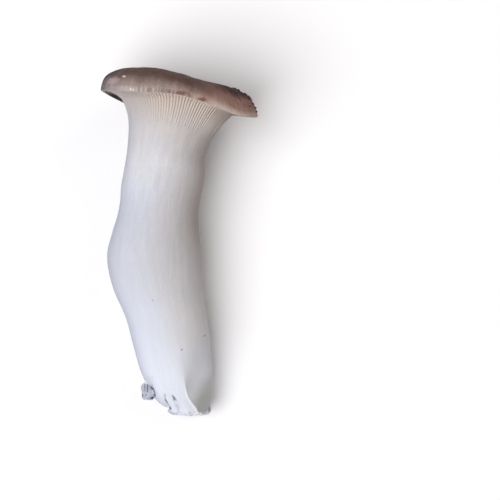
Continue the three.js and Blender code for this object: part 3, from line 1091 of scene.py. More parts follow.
def painted_shade_under_margin(tree, colour):
    """A colour darkened with painted shade in the hollow under the margin's -X side."""
    grain = vector_of(tree, "grain")
    on_left = eased(tree, part_of(tree, grain, "X"), -0.30, -0.90)
    below = eased(tree, part_of(tree, grain, "Y"), -0.02, -0.42)
    in_gills = eased(tree, value_of(tree, "gill_zone"), 0.65, 0.98)
    return painted(tree, colour, "35302E", product(tree, on_left, below, in_gills))


# %% White flesh
FLESH_SPOTS = [  # middle and half sizes in metres, strength, colour
    ((-0.0146, -0.0634, 0.018), (0.0034, 0.0036, 0.010), 0.60, "B4C4C8"),
    ((0.0115, -0.0424, 0.035), (0.00062, 0.00062, 0.02), 0.75, "7E7670"),
    ((0.0011, -0.0485, 0.035), (0.00045, 0.00045, 0.02), 0.75, "7E7670"),
    ((-0.0121, -0.0254, 0.035), (0.00030, 0.00030, 0.02), 0.75, "7E7670"),
]
FOOT_STAINS_AND_PIT_SHADE = [
    # the first one is painted shade in a pit, the other two are stains
    ((-0.0030, -0.0719, 0.024), (0.00042, 0.0011, 0.004), 0.75, "62626E"),
    ((0.0133, -0.0783, 0.012), (0.0006, 0.0020, 0.004), 0.75, "6B6258"),
    ((-0.0016, -0.0765, 0.021), (0.0016, 0.0030, 0.006), 0.75, "CFCBDC"),
]
FLESH_BUMPS = 0.00011  # metres, the height of the fibres


def with_spots(tree, here, colour, spots):
    for centre, half_size, strength, code in spots:
        colour = painted(tree, colour, code, spotted(tree, here, centre, half_size), strength)
    return colour


def cut_flesh(tree, here, green):
    """The knife's cut: pale near the curled edge, greyer towards the foot's end with painted shade."""
    to_shaded_end = maths(tree, "MULTIPLY_ADD", part_of(tree, here, "Y"), -0.5, part_of(tree, here, "X"))
    colour = blended(tree, eased(tree, to_shaded_end, 0.040, 0.047), tint("D3D5DB"), tint("A7A8A6"))
    return painted(tree, colour, "BCBFBD", green, 0.5)


def make_flesh():
    material, tree, shader, here = new_finish("white flesh", subsurface=0.15, specular=0.12)
    colour, broad, fine, green = flesh_tone(tree, here)
    # cream where the flare faces up; the grey on its flanks is painted shade
    cream = blended(tree, value_of(tree, "creamy"), tint("A39C9C"), tint("C4B6AA"))
    colour = blended(tree, value_of(tree, "gill_zone"), colour, cream)
    # painted shade in the hollow under the margin's -X side
    colour = with_spots(tree, here, painted_shade_under_margin(tree, colour), FLESH_SPOTS)

    cut = product(tree, value_of(tree, "cut"), value_of(tree, "foot"))
    colour = blended(tree, cut, colour, cut_flesh(tree, here, green))
    colour = painted(tree, colour, "E9E9ED", value_of(tree, "lip_line"))
    dust = maths(tree, "MULTIPLY_ADD", mottled(tree, here, 0.0022, 0.9, 3.0), 0.5, 0.3)
    colour = painted(tree, colour, "B7A88F", product(tree, value_of(tree, "end_grain"), dust))
    # painted shade in the folds of the foot, darker the deeper the fold
    colour = painted(tree, colour, "7E7A8C", eased(tree, value_of(tree, "hollow"), 0.12, 1.0))
    colour = with_spots(tree, here, colour, FOOT_STAINS_AND_PIT_SHADE)

    silk = maths(tree, "MULTIPLY_ADD", fine, 0.4, product(tree, broad, 0.6))
    height = maths(tree, "MULTIPLY_ADD", mottled(tree, here, 0.0007, 0.5, 5.0), 0.25, silk)
    off_cut = maths(tree, "SUBTRACT", 1.0, product(tree, cut, 0.75))
    roughness = maths(tree, "MULTIPLY_ADD", fine, 0.14, 0.58)
    finish_surface(tree, shader, colour, roughness, product(tree, height, off_cut), FLESH_BUMPS)
    return material


WHITE_FLESH = make_flesh()
print("white flesh:", len(WHITE_FLESH.node_tree.nodes), "nodes")

# %% [markdown]
# ## Brown cap skin
#
# The cap's skin is a thin brown velvet over white flesh, and it is thinnest at the margin, where
# the white shows through. So the colour follows `rise`, which is how far up the dome a point is.
# Noise moves the border about, so that it looks grown and not painted. The +X side is redder,
# with a pale lip along the margin and a dark dry end. The -X tip is worn and grey, with lilac
# flecks. Last come the marks of handling, each one a spot with a place, a size and a colour.

# %% Brown cap skin
SKIN_SPOTS = [  # x, y, half width, half length in metres, strength, colour
    (0.0026, 0.0669, 0.0040, 0.0012, 0.85, "73504A"),
    (0.0114, 0.0642, 0.0028, 0.0013, 0.85, "714842"),
    (-0.0236, 0.0754, 0.0008, 0.0005, 0.85, "DCD0C4"),
    (-0.0203, 0.0692, 0.0007, 0.0005, 0.85, "E4DCDA"),
    (-0.0191, 0.0689, 0.0005, 0.0005, 0.70, "E4DCDA"),
    (-0.0289, 0.0738, 0.0030, 0.0019, 0.45, "BFA6AB"),
    (-0.0300, 0.0762, 0.0022, 0.0009, 0.50, "6E4F50"),
    (0.0005, 0.0703, 0.0003, 0.0012, 0.60, "6B5650"),
]
SPOT_HEIGHT, SPOT_REACH = 0.055, 0.03  # metres: the spots' middle, and their half size up and down
CAP_BUMPS = 0.00016  # metres, the height of the velvet


def moved_rise(tree, rise, cloud, rays, from_middle):
    """The rise with noise in it, so that a border that follows it is uneven."""
    moved = maths(tree, "MULTIPLY_ADD", maths(tree, "SUBTRACT", cloud, 0.5), 0.16, rise)
    ray_shift = product(tree, from_middle, 0.14)
    return maths(tree, "MULTIPLY_ADD", maths(tree, "SUBTRACT", rays, 0.5), ray_shift, moved)


def cap_ground(tree, rise, moved, side, cloud, patches):
    """From the pale margin to the dark crown."""
    on_right = eased(tree, side, -0.25, 0.65)
    crown = blended(tree, cloud, tint("50372E"), tint("5A423A"))
    red_crown = blended(tree, eased(tree, moved, 0.50, 0.88), tint("A98377"), tint("452E27"))
    crown = blended(tree, eased(tree, side, 0.2, 0.8), crown, red_crown)
    margin = blended(tree, on_right, tint("A0918B"), tint("C8A899"))
    colour = blended(tree, eased(tree, moved, -0.12, 0.60), margin, crown)
    pale_rim = product(tree, eased(tree, rise, 0.12, 0.02), eased(tree, side, 0.1, -0.3))
    colour = painted(tree, colour, "C8BEBA", pale_rim, 0.45)
    return painted(tree, colour, "7A4C42", product(tree, on_right, patches), 0.30)


# %% [markdown]
# ### The two ends of the cap
#
# The cap lies on its margin, so its +X and -X ends aged in two ways. The +X end lost its water
# first and is dark. The -X tip was rubbed, so it is grey. Both are tints over the ground, and
# `side` says how far to +X a point is: -1 at the tip and 1 at the dry end.

# %% The two ends of the cap
def right_end(tree, colour, rise, side):
    """A pale lip along the margin, and the dark dry end."""
    lip = product(tree, eased(tree, rise, 0.30, 0.04), eased(tree, side, 0.32, 0.58))
    lip = product(tree, lip, eased(tree, side, 1.02, 0.78, 0.0, 0.75))
    colour = painted(tree, colour, "D8C8BE", lip)
    dry = product(tree, eased(tree, side, 0.72, 0.96, 0.0, 0.40), eased(tree, rise, 0.14, 0.50, 0.15))
    return painted(tree, colour, "4A2E26", dry)


def left_tip(tree, here, colour, moved, side, on_left):
    """Grey and worn, with lilac flecks nearer the margin."""
    tip = blended(tree, eased(tree, moved, 0.20, 0.42), tint("56534F"), tint("28231F"))
    colour = blended(tree, product(tree, on_left, 0.80), colour, tip)
    colour = painted(tree, colour, "4A4B48", eased(tree, side, -0.88, -0.98, 0.0, 0.8))
    flecks = product(tree, on_left, mottled(tree, here, 0.0026, 1.1, 21.0))
    return painted(tree, colour, "B7A6A7", product(tree, flecks, eased(tree, moved, 0.50, 0.25)), 0.50)


# %% [markdown]
# ### Marks, and the whole finish
#
# What is finer than a fingertip comes last. The border, the ends and the marks are then put in
# order in one function, so that the finish can be read from the bottom layer to the top one.

# %% Marks and the whole finish
def fine_marks(tree, here, colour, grain, rise, side, hairs):
    """Pale specks where the skin is thin, dark dashes along the rim, hairs and bloom."""
    thin = product(tree, eased(tree, rise, 0.75, 0.1), eased(tree, side, 0.65, -0.25))
    specks = product(tree, mottled(tree, here, 0.0011, 1.3, 13.0), thin)
    colour = painted(tree, colour, "CFC0BA", specks, 0.14)
    at_rim = product(tree, eased(tree, rise, 0.11, 0.03), eased(tree, side, -0.56, -0.40))
    at_rim = product(tree, at_rim, eased(tree, side, 0.32, 0.10))
    dashes = product(tree, streaked(tree, grain, 22.0, 0.4, 1.4), at_rim)
    colour = painted(tree, colour, "5E453E", dashes, 0.75)
    colour = painted(tree, colour, "4E3F3A", hairs, 0.22)
    return painted(tree, colour, "948580", mottled(tree, here, 0.006, 0.7, 4.0), 0.22)


def worn_and_shaded_edges(tree, colour, grain, rise, side, on_left):
    """The dome's edge: grey at the -X tip, painted shade below it, and dark along the +X shoulder."""
    colour = painted(tree, colour, "868987", eased(tree, side, -0.86, -0.96, 0.0, 0.5))
    shade_below_tip = product(tree, eased(tree, part_of(tree, grain, "Y"), 0.60, 0.26), on_left)
    shade_below_tip = product(tree, shade_below_tip, eased(tree, rise, 0.05, 0.45, 0.55, 0.90))
    # painted shade on the lower side of the -X tip
    colour = painted(tree, colour, "2C2825", shade_below_tip)
    shoulder = product(tree, eased(tree, side, 0.42, 0.74), eased(tree, rise, 0.58, 0.86, 0.0, 0.75))
    return painted(tree, colour, "2E1D18", shoulder)


def make_cap_skin():
    material, tree, shader, here = new_finish("brown cap skin", subsurface=0.05, specular=0.08)
    grain, rise = vector_of(tree, "grain"), value_of(tree, "rise")
    side = maths(tree, "DIVIDE", part_of(tree, here, "X"), CAP_RADIUS * MM)
    on_left = eased(tree, side, -0.62, -0.95)
    from_middle = eased(tree, part_of(tree, grain, "Z"), 0.15, 0.75)
    cloud, patches = mottled(tree, here, 0.009, 0.6, 2.0), mottled(tree, here, 0.0045, 0.8, 9.0)
    rays = streaked(tree, grain, 13.0, 2.0, 0.7)
    hairs = product(tree, streaked(tree, grain, 60.0, 9.0, 0.8), from_middle)
    moved = moved_rise(tree, rise, cloud, rays, from_middle)

    colour = cap_ground(tree, rise, moved, side, cloud, patches)
    colour = right_end(tree, colour, rise, side)
    colour = left_tip(tree, here, colour, moved, side, on_left)
    colour = fine_marks(tree, here, colour, grain, rise, side, hairs)
    colour = worn_and_shaded_edges(tree, colour, grain, rise, side, on_left)
    spots = [
        ((x, y, SPOT_HEIGHT), (half_x, half_y, SPOT_REACH), strength, code)
        for x, y, half_x, half_y, strength, code in SKIN_SPOTS
    ]
    colour = with_spots(tree, here, colour, spots)

    velvet = mottled(tree, here, 0.0006, 0.6, 6.0)
    height = maths(tree, "MULTIPLY_ADD", velvet, 0.4, maths(tree, "MULTIPLY_ADD", hairs, 0.4, patches))
    roughness = maths(tree, "MULTIPLY_ADD", cloud, 0.16, 0.62)
    finish_surface(tree, shader, colour, roughness, height, CAP_BUMPS)
    return material


CAP_SKIN = make_cap_skin()
print("brown cap skin:", len(CAP_SKIN.node_tree.nodes), "nodes")

# %% [markdown]
# ## Gill flesh
#
# Gills are cream along their free edge, where they are thin and light comes through, and darker
# and browner towards the root, where hardly any light reaches. Each blade carries a vector
# called `blade`, whose third number is the height over the root, so one ramp does it. A little
# noise by place keeps two neighbours from being the same. The lower ends fade into the skin.

# %% Gill flesh
GILL_BUMPS = 0.00006  # metres


def make_gill_flesh():
    finish = {"subsurface": 0.2, "subsurface_depth": 0.0012, "specular": 0.12}
    material, tree, shader, here = new_finish("gill flesh", **finish)
    height_share = part_of(tree, vector_of(tree, "blade"), "Z")
    cloud, fine = mottled(tree, here, 0.010, 0.7, 8.0), mottled(tree, here, 0.0012, 0.7, 12.0)
    across = part_of(tree, here, "X")
    middle = product(tree, eased(tree, across, -0.022, -0.004), eased(tree, across, 0.024, 0.010))
    outer = blended(tree, eased(tree, across, -0.010, 0.015), tint("ACA6A6"), tint("9A9089"))
    edge = painted(tree, outer, "CABDB3", maths(tree, "MULTIPLY_ADD", cloud, 0.2, middle))
    root = blended(tree, middle, tint("9E9696"), tint("AB9A8C"))
    colour = blended(tree, eased(tree, height_share, 0.0, 0.95), root, edge)
    colour = painted(tree, colour, "B79F86", fine, 0.18)
    skin = flesh_tone(tree, here)[0]
    colour = blended(tree, eased(tree, value_of(tree, "gill_zone"), 0.08, 0.95), skin, colour)
    roughness = maths(tree, "MULTIPLY_ADD", fine, 0.12, 0.55)
    # painted shade in the hollow under the margin's -X side
    finish_surface(tree, shader, painted_shade_under_margin(tree, colour), roughness, fine, GILL_BUMPS)
    return material


GILL_FLESH = make_gill_flesh()

# %% [markdown]
# ## Dress the body
#
# The body is one skin with two finishes. The brown one starts on the margin's edge, and the rest
# is white flesh.

# %% Dress the body
WHITE_SLOT, CAP_SLOT = 0, 1
BROWN_FROM = 0.6  # how far round the margin's edge the brown skin starts


def dress_body():
    body_mesh.materials.append(WHITE_FLESH)
    body_mesh.materials.append(CAP_SKIN)
    brown = [kind == ON_CAP or (kind == ON_LIP and value > BROWN_FROM) for kind, value, _ in rings]
    slots = np.repeat([CAP_SLOT if is_brown else WHITE_SLOT for is_brown in brown[:-1]], SIDES)
    ends = np.repeat([WHITE_SLOT, CAP_SLOT], SIDES)
    body_mesh.polygons.foreach_set("material_index", np.concatenate([slots, ends]).astype(np.int32))


dress_body()
print("brown faces:", sum(face.material_index == CAP_SLOT for face in body_mesh.polygons))

# %% [markdown]
# ## Gills by rule
#
# A gill is a thin blade that stands on the flesh, and there are more than two hundred of them.
# Modelling one and arraying it round a circle wouldn't do, because the flare isn't round and
# each gill has to follow it. So Geometry Nodes grow them on a guide: a plain sheet laid along
# the gills' free edges, whose UV map says how far round and how far up each point is. Each
# instance is a small box of points. Its points look up their place on the guide by UV and move
# there, so the box turns into a blade that follows the flare.
#
# Every second gill runs down the flank. The others are short and fill the gaps near the margin.

# %% The guide that the gills grow on
GUIDE_ROWS, GUIDE_OVERLAP = 90, 8
GUIDE_UV, GUIDE_STAND, GUIDE_DEPTH = "flare_uv", "stand", "depth"
GUIDE_GRAIN, GUIDE_PAINTED_SHADE, GUIDE_ZONE = "flare_grain", "flare_painted_shade", "flare_zone"


def make_guide():
    """The sheet overlaps itself a little, so that a gill at the seam finds both sides of it."""
    u = np.arange(-GUIDE_OVERLAP, SIDES + GUIDE_OVERLAP + 1) / SIDES
    v = np.linspace(0, 1, GUIDE_ROWS)
    v_grid, u_grid = np.meshgrid(v, u, indexing="ij")
    sheet_angle, t = u_grid * TURN, v_grid * 2
    columns = len(u)
    corner = (np.arange(GUIDE_ROWS - 1)[:, None] * columns + np.arange(columns - 1)).ravel()
    faces = np.stack([corner, corner + 1, corner + columns + 1, corner + columns], axis=1)
    mesh = bpy.data.meshes.new("gill guide")
    mesh.from_pydata((flare_point(sheet_angle, t).reshape(-1, 3) * MM).tolist(), [], faces.tolist())
    add_values(mesh, GUIDE_UV, np.stack([u_grid, v_grid, 0 * u_grid], axis=-1).reshape(-1, 3))
    add_values(mesh, GUIDE_STAND, gill_direction(sheet_angle, t).reshape(-1, 3))
    add_values(mesh, GUIDE_DEPTH, flesh_depth(sheet_angle, t).ravel() * MM)
    grain = [np.cos(sheet_angle), np.sin(sheet_angle), flare_y(t) / GRAIN_STEP]
    add_values(mesh, GUIDE_GRAIN, np.stack(grain, axis=-1).reshape(-1, 3))
    # the flare's painted shade, for the gills to take
    add_values(mesh, GUIDE_PAINTED_SHADE, painted_shade_share(ON_FLARE, t, sheet_angle).ravel())
    add_values(mesh, GUIDE_ZONE, gill_share(t).ravel())
    return new_piece("gill guide", mesh)


guide = make_guide()
print("guide:", len(guide.data.polygons), "faces")

# %% The node tree that grows the blades
def named(tree, name, kind="FLOAT_VECTOR"):
    return add_node(tree, "GeometryNodeInputNamedAttribute", {"Name": name}, data_type=kind).outputs[0]


def stored(tree, geometry, name, value, kind="FLOAT"):
    inputs = {"Geometry": geometry, "Name": name, "Value": value}
    settings = {"data_type": kind, "domain": "POINT"}
    return add_node(tree, "GeometryNodeStoreNamedAttribute", inputs, **settings).outputs[0]


def drawn(tree, low, high, seed, shift):
    """One random number for each gill."""
    index = tree.nodes.new("GeometryNodeInputIndex").outputs[0]
    seeds = maths(tree, "ADD", seed, float(shift))
    inputs = {"Min": low, "Max": high, "ID": index, "Seed": seeds}
    return live_socket(add_node(tree, "FunctionNodeRandomValue", inputs, data_type="FLOAT").outputs, "Value")


GILL_INPUTS = [  # lengths in metres, places up the flare from 0 to 2
    ("Guide", "Geometry"),
    ("Count", "Int", 122),
    ("Turn Shift", "Float", 0.0),
    ("Start", "Float", 0.2),
    ("Start Spread", "Float", 0.2),
    ("End", "Float", 1.95),
    ("Depth Share", "Float", 1.0),
    ("Points Along", "Int", 20),
    ("Root Width", "Float", 0.90),
    ("Edge Width", "Float", 0.72),
    ("Widest", "Float", 0.0012),
    ("Root Sink", "Float", 0.0004),
    ("Proud", "Float", 0.00010),
    ("Seed", "Int", 3),
    ("Material", "Material"),
]
BESIDE = 0.004  # of a turn, to find which way is across


# %% [markdown]
# ### From a row of seeds to boxes
#
# A seed is one point in a row. Everything that makes a gill unlike its neighbour is drawn there
# once and stored on it: how far round it stands, where it starts and ends, how deep it is and
# how it leans. The instance takes these numbers along, and Realize Instances hands them to every
# point of the box.

# %% Seeds and boxes
def gill_seeds(tree, given):
    """One point for each gill, with the numbers that make it unlike its neighbours."""
    seed = given["Seed"]
    row = add_node(tree, "GeometryNodeMeshLine", {"Count": given["Count"]}, mode="OFFSET").outputs[0]
    index = tree.nodes.new("GeometryNodeInputIndex").outputs[0]
    turn = maths(tree, "ADD", index, given["Turn Shift"])
    turn = maths(tree, "ADD", turn, drawn(tree, -0.06, 0.06, seed, 0))
    late = product(tree, drawn(tree, 0.0, 1.0, seed, 1), given["Start Spread"])
    values = {
        "turn": maths(tree, "DIVIDE", turn, given["Count"]),
        "start": maths(tree, "ADD", given["Start"], late),
        "end": maths(tree, "SUBTRACT", given["End"], drawn(tree, 0.0, 0.05, seed, 2)),
        "deep": product(tree, given["Depth Share"], drawn(tree, 0.86, 1.0, seed, 3)),
        "lean": drawn(tree, -1.0, 1.0, seed, 4),
    }
    for name, value in values.items():
        row = stored(tree, row, name, value)
    return row


def boxes_on(tree, given, row):
    """A box of points on each seed: x across the blade, y along it from 0 to 1, z from its root 0
    to its edge 1."""
    sizes = {"Size": (1, 1, 1), "Vertices X": 2, "Vertices Y": given["Points Along"], "Vertices Z": 2}
    box = add_node(tree, "GeometryNodeMeshCube", sizes).outputs[0]
    position = tree.nodes.new("GeometryNodeInputPosition").outputs[0]
    from_root = vector_maths(tree, "ADD", position, (0, 0.5, 0.5))
    box = stored(tree, box, "blade", from_root, "FLOAT_VECTOR")
    blades = {"Points": row, "Instance": box}
    blades = add_node(tree, "GeometryNodeInstanceOnPoints", blades).outputs[0]
    return add_node(tree, "GeometryNodeRealizeInstances", {"Geometry": blades}).outputs[0]


# %% [markdown]
# ### The form of one blade
#
# A blade is deepest in its middle and tapers at both ends. Its root is wide and sunk in the
# flesh, so that no gap shows, and its free edge is thin and a little uneven. These sums are done
# for every point of every box at the same time.

# %% The form of one blade
def on_guide(tree, given, value, u, v, kind="FLOAT_VECTOR"):
    """What the guide says at a place of its UV map."""
    inputs = {
        "Mesh": given["Guide"],
        "Value": value,
        "UV Map": named(tree, GUIDE_UV),
        "Sample UV": packed(tree, u, v),
    }
    node = add_node(tree, "GeometryNodeSampleUVSurface", inputs, data_type=kind)
    return live_socket(node.outputs, "Value")


def blade_back(tree, given, depth, t, along, height):
    """How far a point lies behind the gills' free edges: the root is sunk in the flesh."""
    rise = maths(tree, "MULTIPLY_ADD", t, 2.6, product(tree, named(tree, "lean", "FLOAT"), 50.0))
    uneven = add_node(tree, "ShaderNodeTexNoise", {"W": rise}, noise_dimensions="1D").outputs[0]
    uneven = maths(tree, "MULTIPLY_ADD", uneven, 0.12, 0.92, clamp=True)
    taper = product(tree, eased(tree, along, 0.0, 0.40), eased(tree, along, 1.0, 0.94))
    lift = product(tree, named(tree, "deep", "FLOAT"), uneven, taper, height)
    behind = product(tree, depth, maths(tree, "SUBTRACT", 1.0, lift))
    from_edge = maths(tree, "SUBTRACT", 1.0, height)
    behind = maths(tree, "MULTIPLY_ADD", from_edge, given["Root Sink"], behind)
    behind = maths(tree, "SUBTRACT", behind, product(tree, given["Proud"], height, taper))
    return maths(tree, "ADD", behind, eased(tree, along, 0.20, 0.0, 0.0, 0.00012))


def blade_width(tree, given, sideways, height):
    """A wide root and a narrow free edge, as shares of the room that the gill has."""
    room = product(tree, given["Count"], BESIDE)
    room = maths(tree, "DIVIDE", vector_maths(tree, "LENGTH", sideways), room)
    narrowing = maths(tree, "POWER", height, 1.6)
    widening = maths(tree, "SUBTRACT", given["Edge Width"], given["Root Width"])
    share = maths(tree, "MULTIPLY_ADD", narrowing, widening, given["Root Width"])
    return maths(tree, "MINIMUM", product(tree, room, share), given["Widest"])


# %% [markdown]
# ### The whole tree
#
# The order matters. The values that the materials need are stored first, while the points are
# still boxes, and the points move last. The tree ends with the material.

# %% The whole gill tree
def gill_tree():
    outputs = [("Gills", "Geometry")]
    tree, given, result = new_group("GeometryNodeTree", "gill blades", GILL_INPUTS, outputs)
    tree.is_modifier = True
    blades = boxes_on(tree, given, gill_seeds(tree, given))

    # where each point belongs on the guide: the blades swing a little from side to side
    split = add_node(tree, "ShaderNodeSeparateXYZ", {0: named(tree, "blade")}).outputs
    across, along, height = split["X"], split["Y"], split["Z"]
    start, end = named(tree, "start", "FLOAT"), named(tree, "end", "FLOAT")
    length = maths(tree, "SUBTRACT", end, start)
    t = maths(tree, "ADD", start, product(tree, along, length))
    phase = product(tree, named(tree, "lean", "FLOAT"), 9.0)
    swing = maths(tree, "SINE", maths(tree, "MULTIPLY_ADD", t, 4.0, phase))
    swing = maths(tree, "DIVIDE", product(tree, swing, 0.04), given["Count"])
    u = maths(tree, "ADD", named(tree, "turn", "FLOAT"), swing)
    v = maths(tree, "DIVIDE", t, 2.0)

    # what the materials read, before the points move
    # the painted shade and the gill zone, read from the guide
    for name, source in (("painted_shade", GUIDE_PAINTED_SHADE), ("gill_zone", GUIDE_ZONE)):
        value = on_guide(tree, given, named(tree, source, "FLOAT"), u, v, "FLOAT")
        blades = stored(tree, blades, name, value)
    grain = on_guide(tree, given, named(tree, GUIDE_GRAIN), u, v)
    blades = stored(tree, blades, "grain", grain, "FLOAT_VECTOR")

    # the point's own place: on the guide, back by its depth and sideways by its width
    position = tree.nodes.new("GeometryNodeInputPosition").outputs[0]
    here = on_guide(tree, given, position, u, v)
    beside = on_guide(tree, given, position, maths(tree, "SUBTRACT", u, BESIDE), v)
    stand = vector_maths(tree, "NORMALIZE", on_guide(tree, given, named(tree, GUIDE_STAND), u, v))
    depth = on_guide(tree, given, named(tree, GUIDE_DEPTH, "FLOAT"), u, v, "FLOAT")
    sideways = vector_maths(tree, "SUBTRACT", beside, here)
    behind = blade_back(tree, given, depth, t, along, height)
    half_step = product(tree, blade_width(tree, given, sideways, height), across)
    offset = scaled(tree, vector_maths(tree, "NORMALIZE", sideways), half_step)
    moved = vector_maths(tree, "SUBTRACT", here, scaled(tree, stand, behind))
    moved = vector_maths(tree, "ADD", moved, offset)

    for kind, inputs in (
        ("GeometryNodeSetPosition", {"Position": moved}),
        ("GeometryNodeSetShadeSmooth", {}),
        ("GeometryNodeSetMaterial", {"Material": given["Material"]}),
    ):
        blades = add_node(tree, kind, {"Geometry": blades, **inputs}).outputs[0]
    tree.links.new(blades, result[0])
    return tree


blades_tree = gill_tree()
print("gill tree:", len(blades_tree.nodes), "nodes")

# %% [markdown]
# ## Grow the gills
#
# The tree runs twice on the guide, once for the long gills and once for the short ones between
# them. Each time its result is kept as a plain mesh, and the modifier is taken away again.

# %% Grow the gills
LONG_GILLS, SHORT_GILLS = 122, 122
GILL_PIECES = {
    "long_gills": {
        "Count": LONG_GILLS,
        "Start": FIRST_GILL,
        "Start Spread": 0.30,
        "Points Along": 17,
        "Seed": 3,
    },
    "short_gills": {
        "Count": SHORT_GILLS,
        "Turn Shift": 0.5,
        "Start": 1.02,
        "Start Spread": 0.35,
        "Depth Share": 0.66,
        "Points Along": 11,
        "Root Width": 0.40,
        "Edge Width": 0.26,
        "Seed": 8,
    },
}


def input_id(tree, name):
    """A modifier's input is set by this identifier, because its name is only a label."""
    sockets = (item for item in tree.interface.items_tree if item.item_type == "SOCKET")
    return next(s.identifier for s in sockets if s.in_out == "INPUT" and s.name == name)


def as_plain_mesh(source, name):
    """The source with its modifiers carried out, as a new piece with a mesh of its own."""
    depsgraph = bpy.context.evaluated_depsgraph_get()
    evaluated = source.evaluated_get(depsgraph)
    mesh = bpy.data.meshes.new_from_object(evaluated, preserve_all_data_layers=True, depsgraph=depsgraph)
    mesh.name = name
    return new_piece(name, mesh)


def grow_gills(name, sizes):
    modifier = guide.modifiers.new("gills", "NODES")
    modifier.node_group = blades_tree
    for label, value in {**sizes, "Material": GILL_FLESH}.items():
        modifier[input_id(blades_tree, label)] = value
    piece = as_plain_mesh(guide, name)
    guide.modifiers.remove(modifier)
    for helper in ("turn", "start", "end", "deep", "lean"):
        piece.data.attributes.remove(piece.data.attributes[helper])
    triangles = sum(len(face.vertices) - 2 for face in piece.data.polygons)
    print(name + ":", triangles, "triangles,", round(signed_volume(piece.data) * 1e6, 2), "cm3")
    return piece


gills = [grow_gills(name, sizes) for name, sizes in GILL_PIECES.items()]
bpy.data.objects.remove(guide)

# %% [markdown]
# ## The bud at the foot
#
# A second mushroom began to grow at the foot and gave up. It is a knot of small knobs. Each knob
# is a ball, and the Remesh modifier melts them into one closed skin, as clay would be. Then its
# points are moved: ridges along its neck, lumps below and a few pits.

# %% The bud at the foot
BUD_KNOBS = [  # middle and half sizes, mm
    ((-14.8, -69.0, 17.4), (3.6, 3.9, 5.0)),
    ((-17.2, -70.8, 15.2), (1.5, 2.4, 2.6)),
    ((-14.8, -71.4, 17.6), (2.6, 1.8, 2.6)),
    ((-12.9, -69.4, 19.0), (1.5, 2.8, 3.0)),
    ((-16.8, -67.4, 17.0), (1.9, 2.4, 2.2)),
    ((-14.2, -64.2, 16.0), (3.0, 4.6, 4.4)),
]
BUD_MIDDLE = np.array(BUD_KNOBS[0][0])
BUD_GRAIN = 0.24  # mm between the points of its skin
BUD_SOFTNESS, BUD_SMOOTHINGS = 0.6, 6
RIDGE_COUNT, RIDGE_HEIGHT = 12, 0.34
LUMP_HEIGHT, GRAIN_HEIGHT = 0.42, 0.10
PIT_DEPTH = 0.7
BUD_PITS = [  # x, y and half sizes
    (-18.4, -71.2, 0.5, 0.8),
    (-13.2, -72.2, 0.7, 0.5),
    (-12.0, -70.4, 0.35, 0.35),
]
BUD_GROOVES = [  # from (x, y) to (x, y), half width, depth
    ((-17.0, -65.6), (-17.0, -68.6), 0.32, 0.28),
    ((-15.6, -65.6), (-15.5, -68.8), 0.32, 0.34),
    ((-13.8, -65.4), (-13.1, -67.2), 0.40, 0.70),
    ((-12.3, -67.4), (-12.0, -69.4), 0.35, 0.25),
]


def bud_clay():
    """The knobs as balls in one mesh, melted together by Remesh and softened by Smooth."""
    mesh = bpy.data.meshes.new("bud clay")
    work = bmesh.new()
    for middle, sizes in BUD_KNOBS:
        place_ball = Matrix.LocRotScale(Vector(middle) * MM, None, Vector(sizes) * MM)
        bmesh.ops.create_icosphere(work, subdivisions=4, radius=1.0, matrix=place_ball)
    work.to_mesh(mesh)
    work.free()
    clay = new_piece("bud clay", mesh)
    melt = clay.modifiers.new("melt", "REMESH")
    melt.mode = "VOXEL"
    melt.voxel_size = BUD_GRAIN * MM
    soften = clay.modifiers.new("soften", "SMOOTH")
    soften.factor, soften.iterations = BUD_SOFTNESS, BUD_SMOOTHINGS
    return clay


def bud_relief(places, normals):
    """Ridges along the bud's neck, lumps on its lower end, and pits on the shown side."""
    off = places - BUD_MIDDLE
    round_bud = np.arctan2(off[:, 2], off[:, 0])
    neck = ease(off[:, 1], -1.6, 0.6) * (1 - ease(off[:, 1], 2.2, 5.0))
    bent = RIDGE_COUNT * round_bud + 0.35 * off[:, 1] + 3.0 * wobble(places / 3.2, 23)
    ridges = RIDGE_HEIGHT * np.cos(bent) * (0.6 + 0.6 * wobble(places / 2.4, 24)) * neck
    ridges = ridges * (1 - ease(normals[:, 2], 0.1, 0.6))
    lumps = LUMP_HEIGHT * wobble(places / 1.5, 21) * (1 - ease(off[:, 1], -1.5, 1.5))
    fine = GRAIN_HEIGHT * wobble(places / 0.55, 22) * (1 - ease(off[:, 1], 1.0, 5.0))
    pits = np.zeros(len(places))
    for x, y, half_x, half_y in BUD_PITS:
        gap = np.hypot((places[:, 0] - x) / half_x, (places[:, 1] - y) / half_y)
        pits -= PIT_DEPTH * bell(gap, 1)
    for start, end, half_width, depth in BUD_GROOVES:
        run = np.subtract(end, start)
        from_start = places[:, :2] - start
        share = np.clip(from_start @ run / (run @ run), 0, 1)
        gap = np.linalg.norm(from_start - share[:, None] * run, axis=1)
        pits -= depth * bell(gap, half_width)
    return ridges + lumps + fine + pits * (normals[:, 2] > -0.1)


def make_bud():
    clay = bud_clay()
    bud = as_plain_mesh(clay, "bud")
    bpy.data.objects.remove(clay)
    count = len(bud.data.vertices)
    places, normals = np.empty(count * 3), np.empty(count * 3)
    bud.data.vertices.foreach_get("co", places)
    bud.data.vertex_normals.foreach_get("vector", normals)
    places, normals = places.reshape(-1, 3) / MM, normals.reshape(-1, 3)
    relief = bud_relief(places, normals)
    bud.data.vertices.foreach_set("co", ((places + normals * relief[:, None]) * MM).ravel())
    add_values(bud.data, "hollow", np.clip(-relief, 0, None))
    bud.data.shade_smooth()
    bud.data.update()
    print("bud:", len(bud.data.polygons), "faces,", round(signed_volume(bud.data) * 1e9), "mm3")
    return bud


bud = make_bud()

# %% [markdown]
# ## Bud flesh
#
# The bud is dull and lilac-grey, paler on its neck, with painted shade in its folds. It uses the
# same effects as the stem, with other sizes.

# %% Bud flesh
BUD_NECK = (-0.0675, -0.0635)  # y in metres, where the bud turns pale
BUD_BUMPS = 0.00010


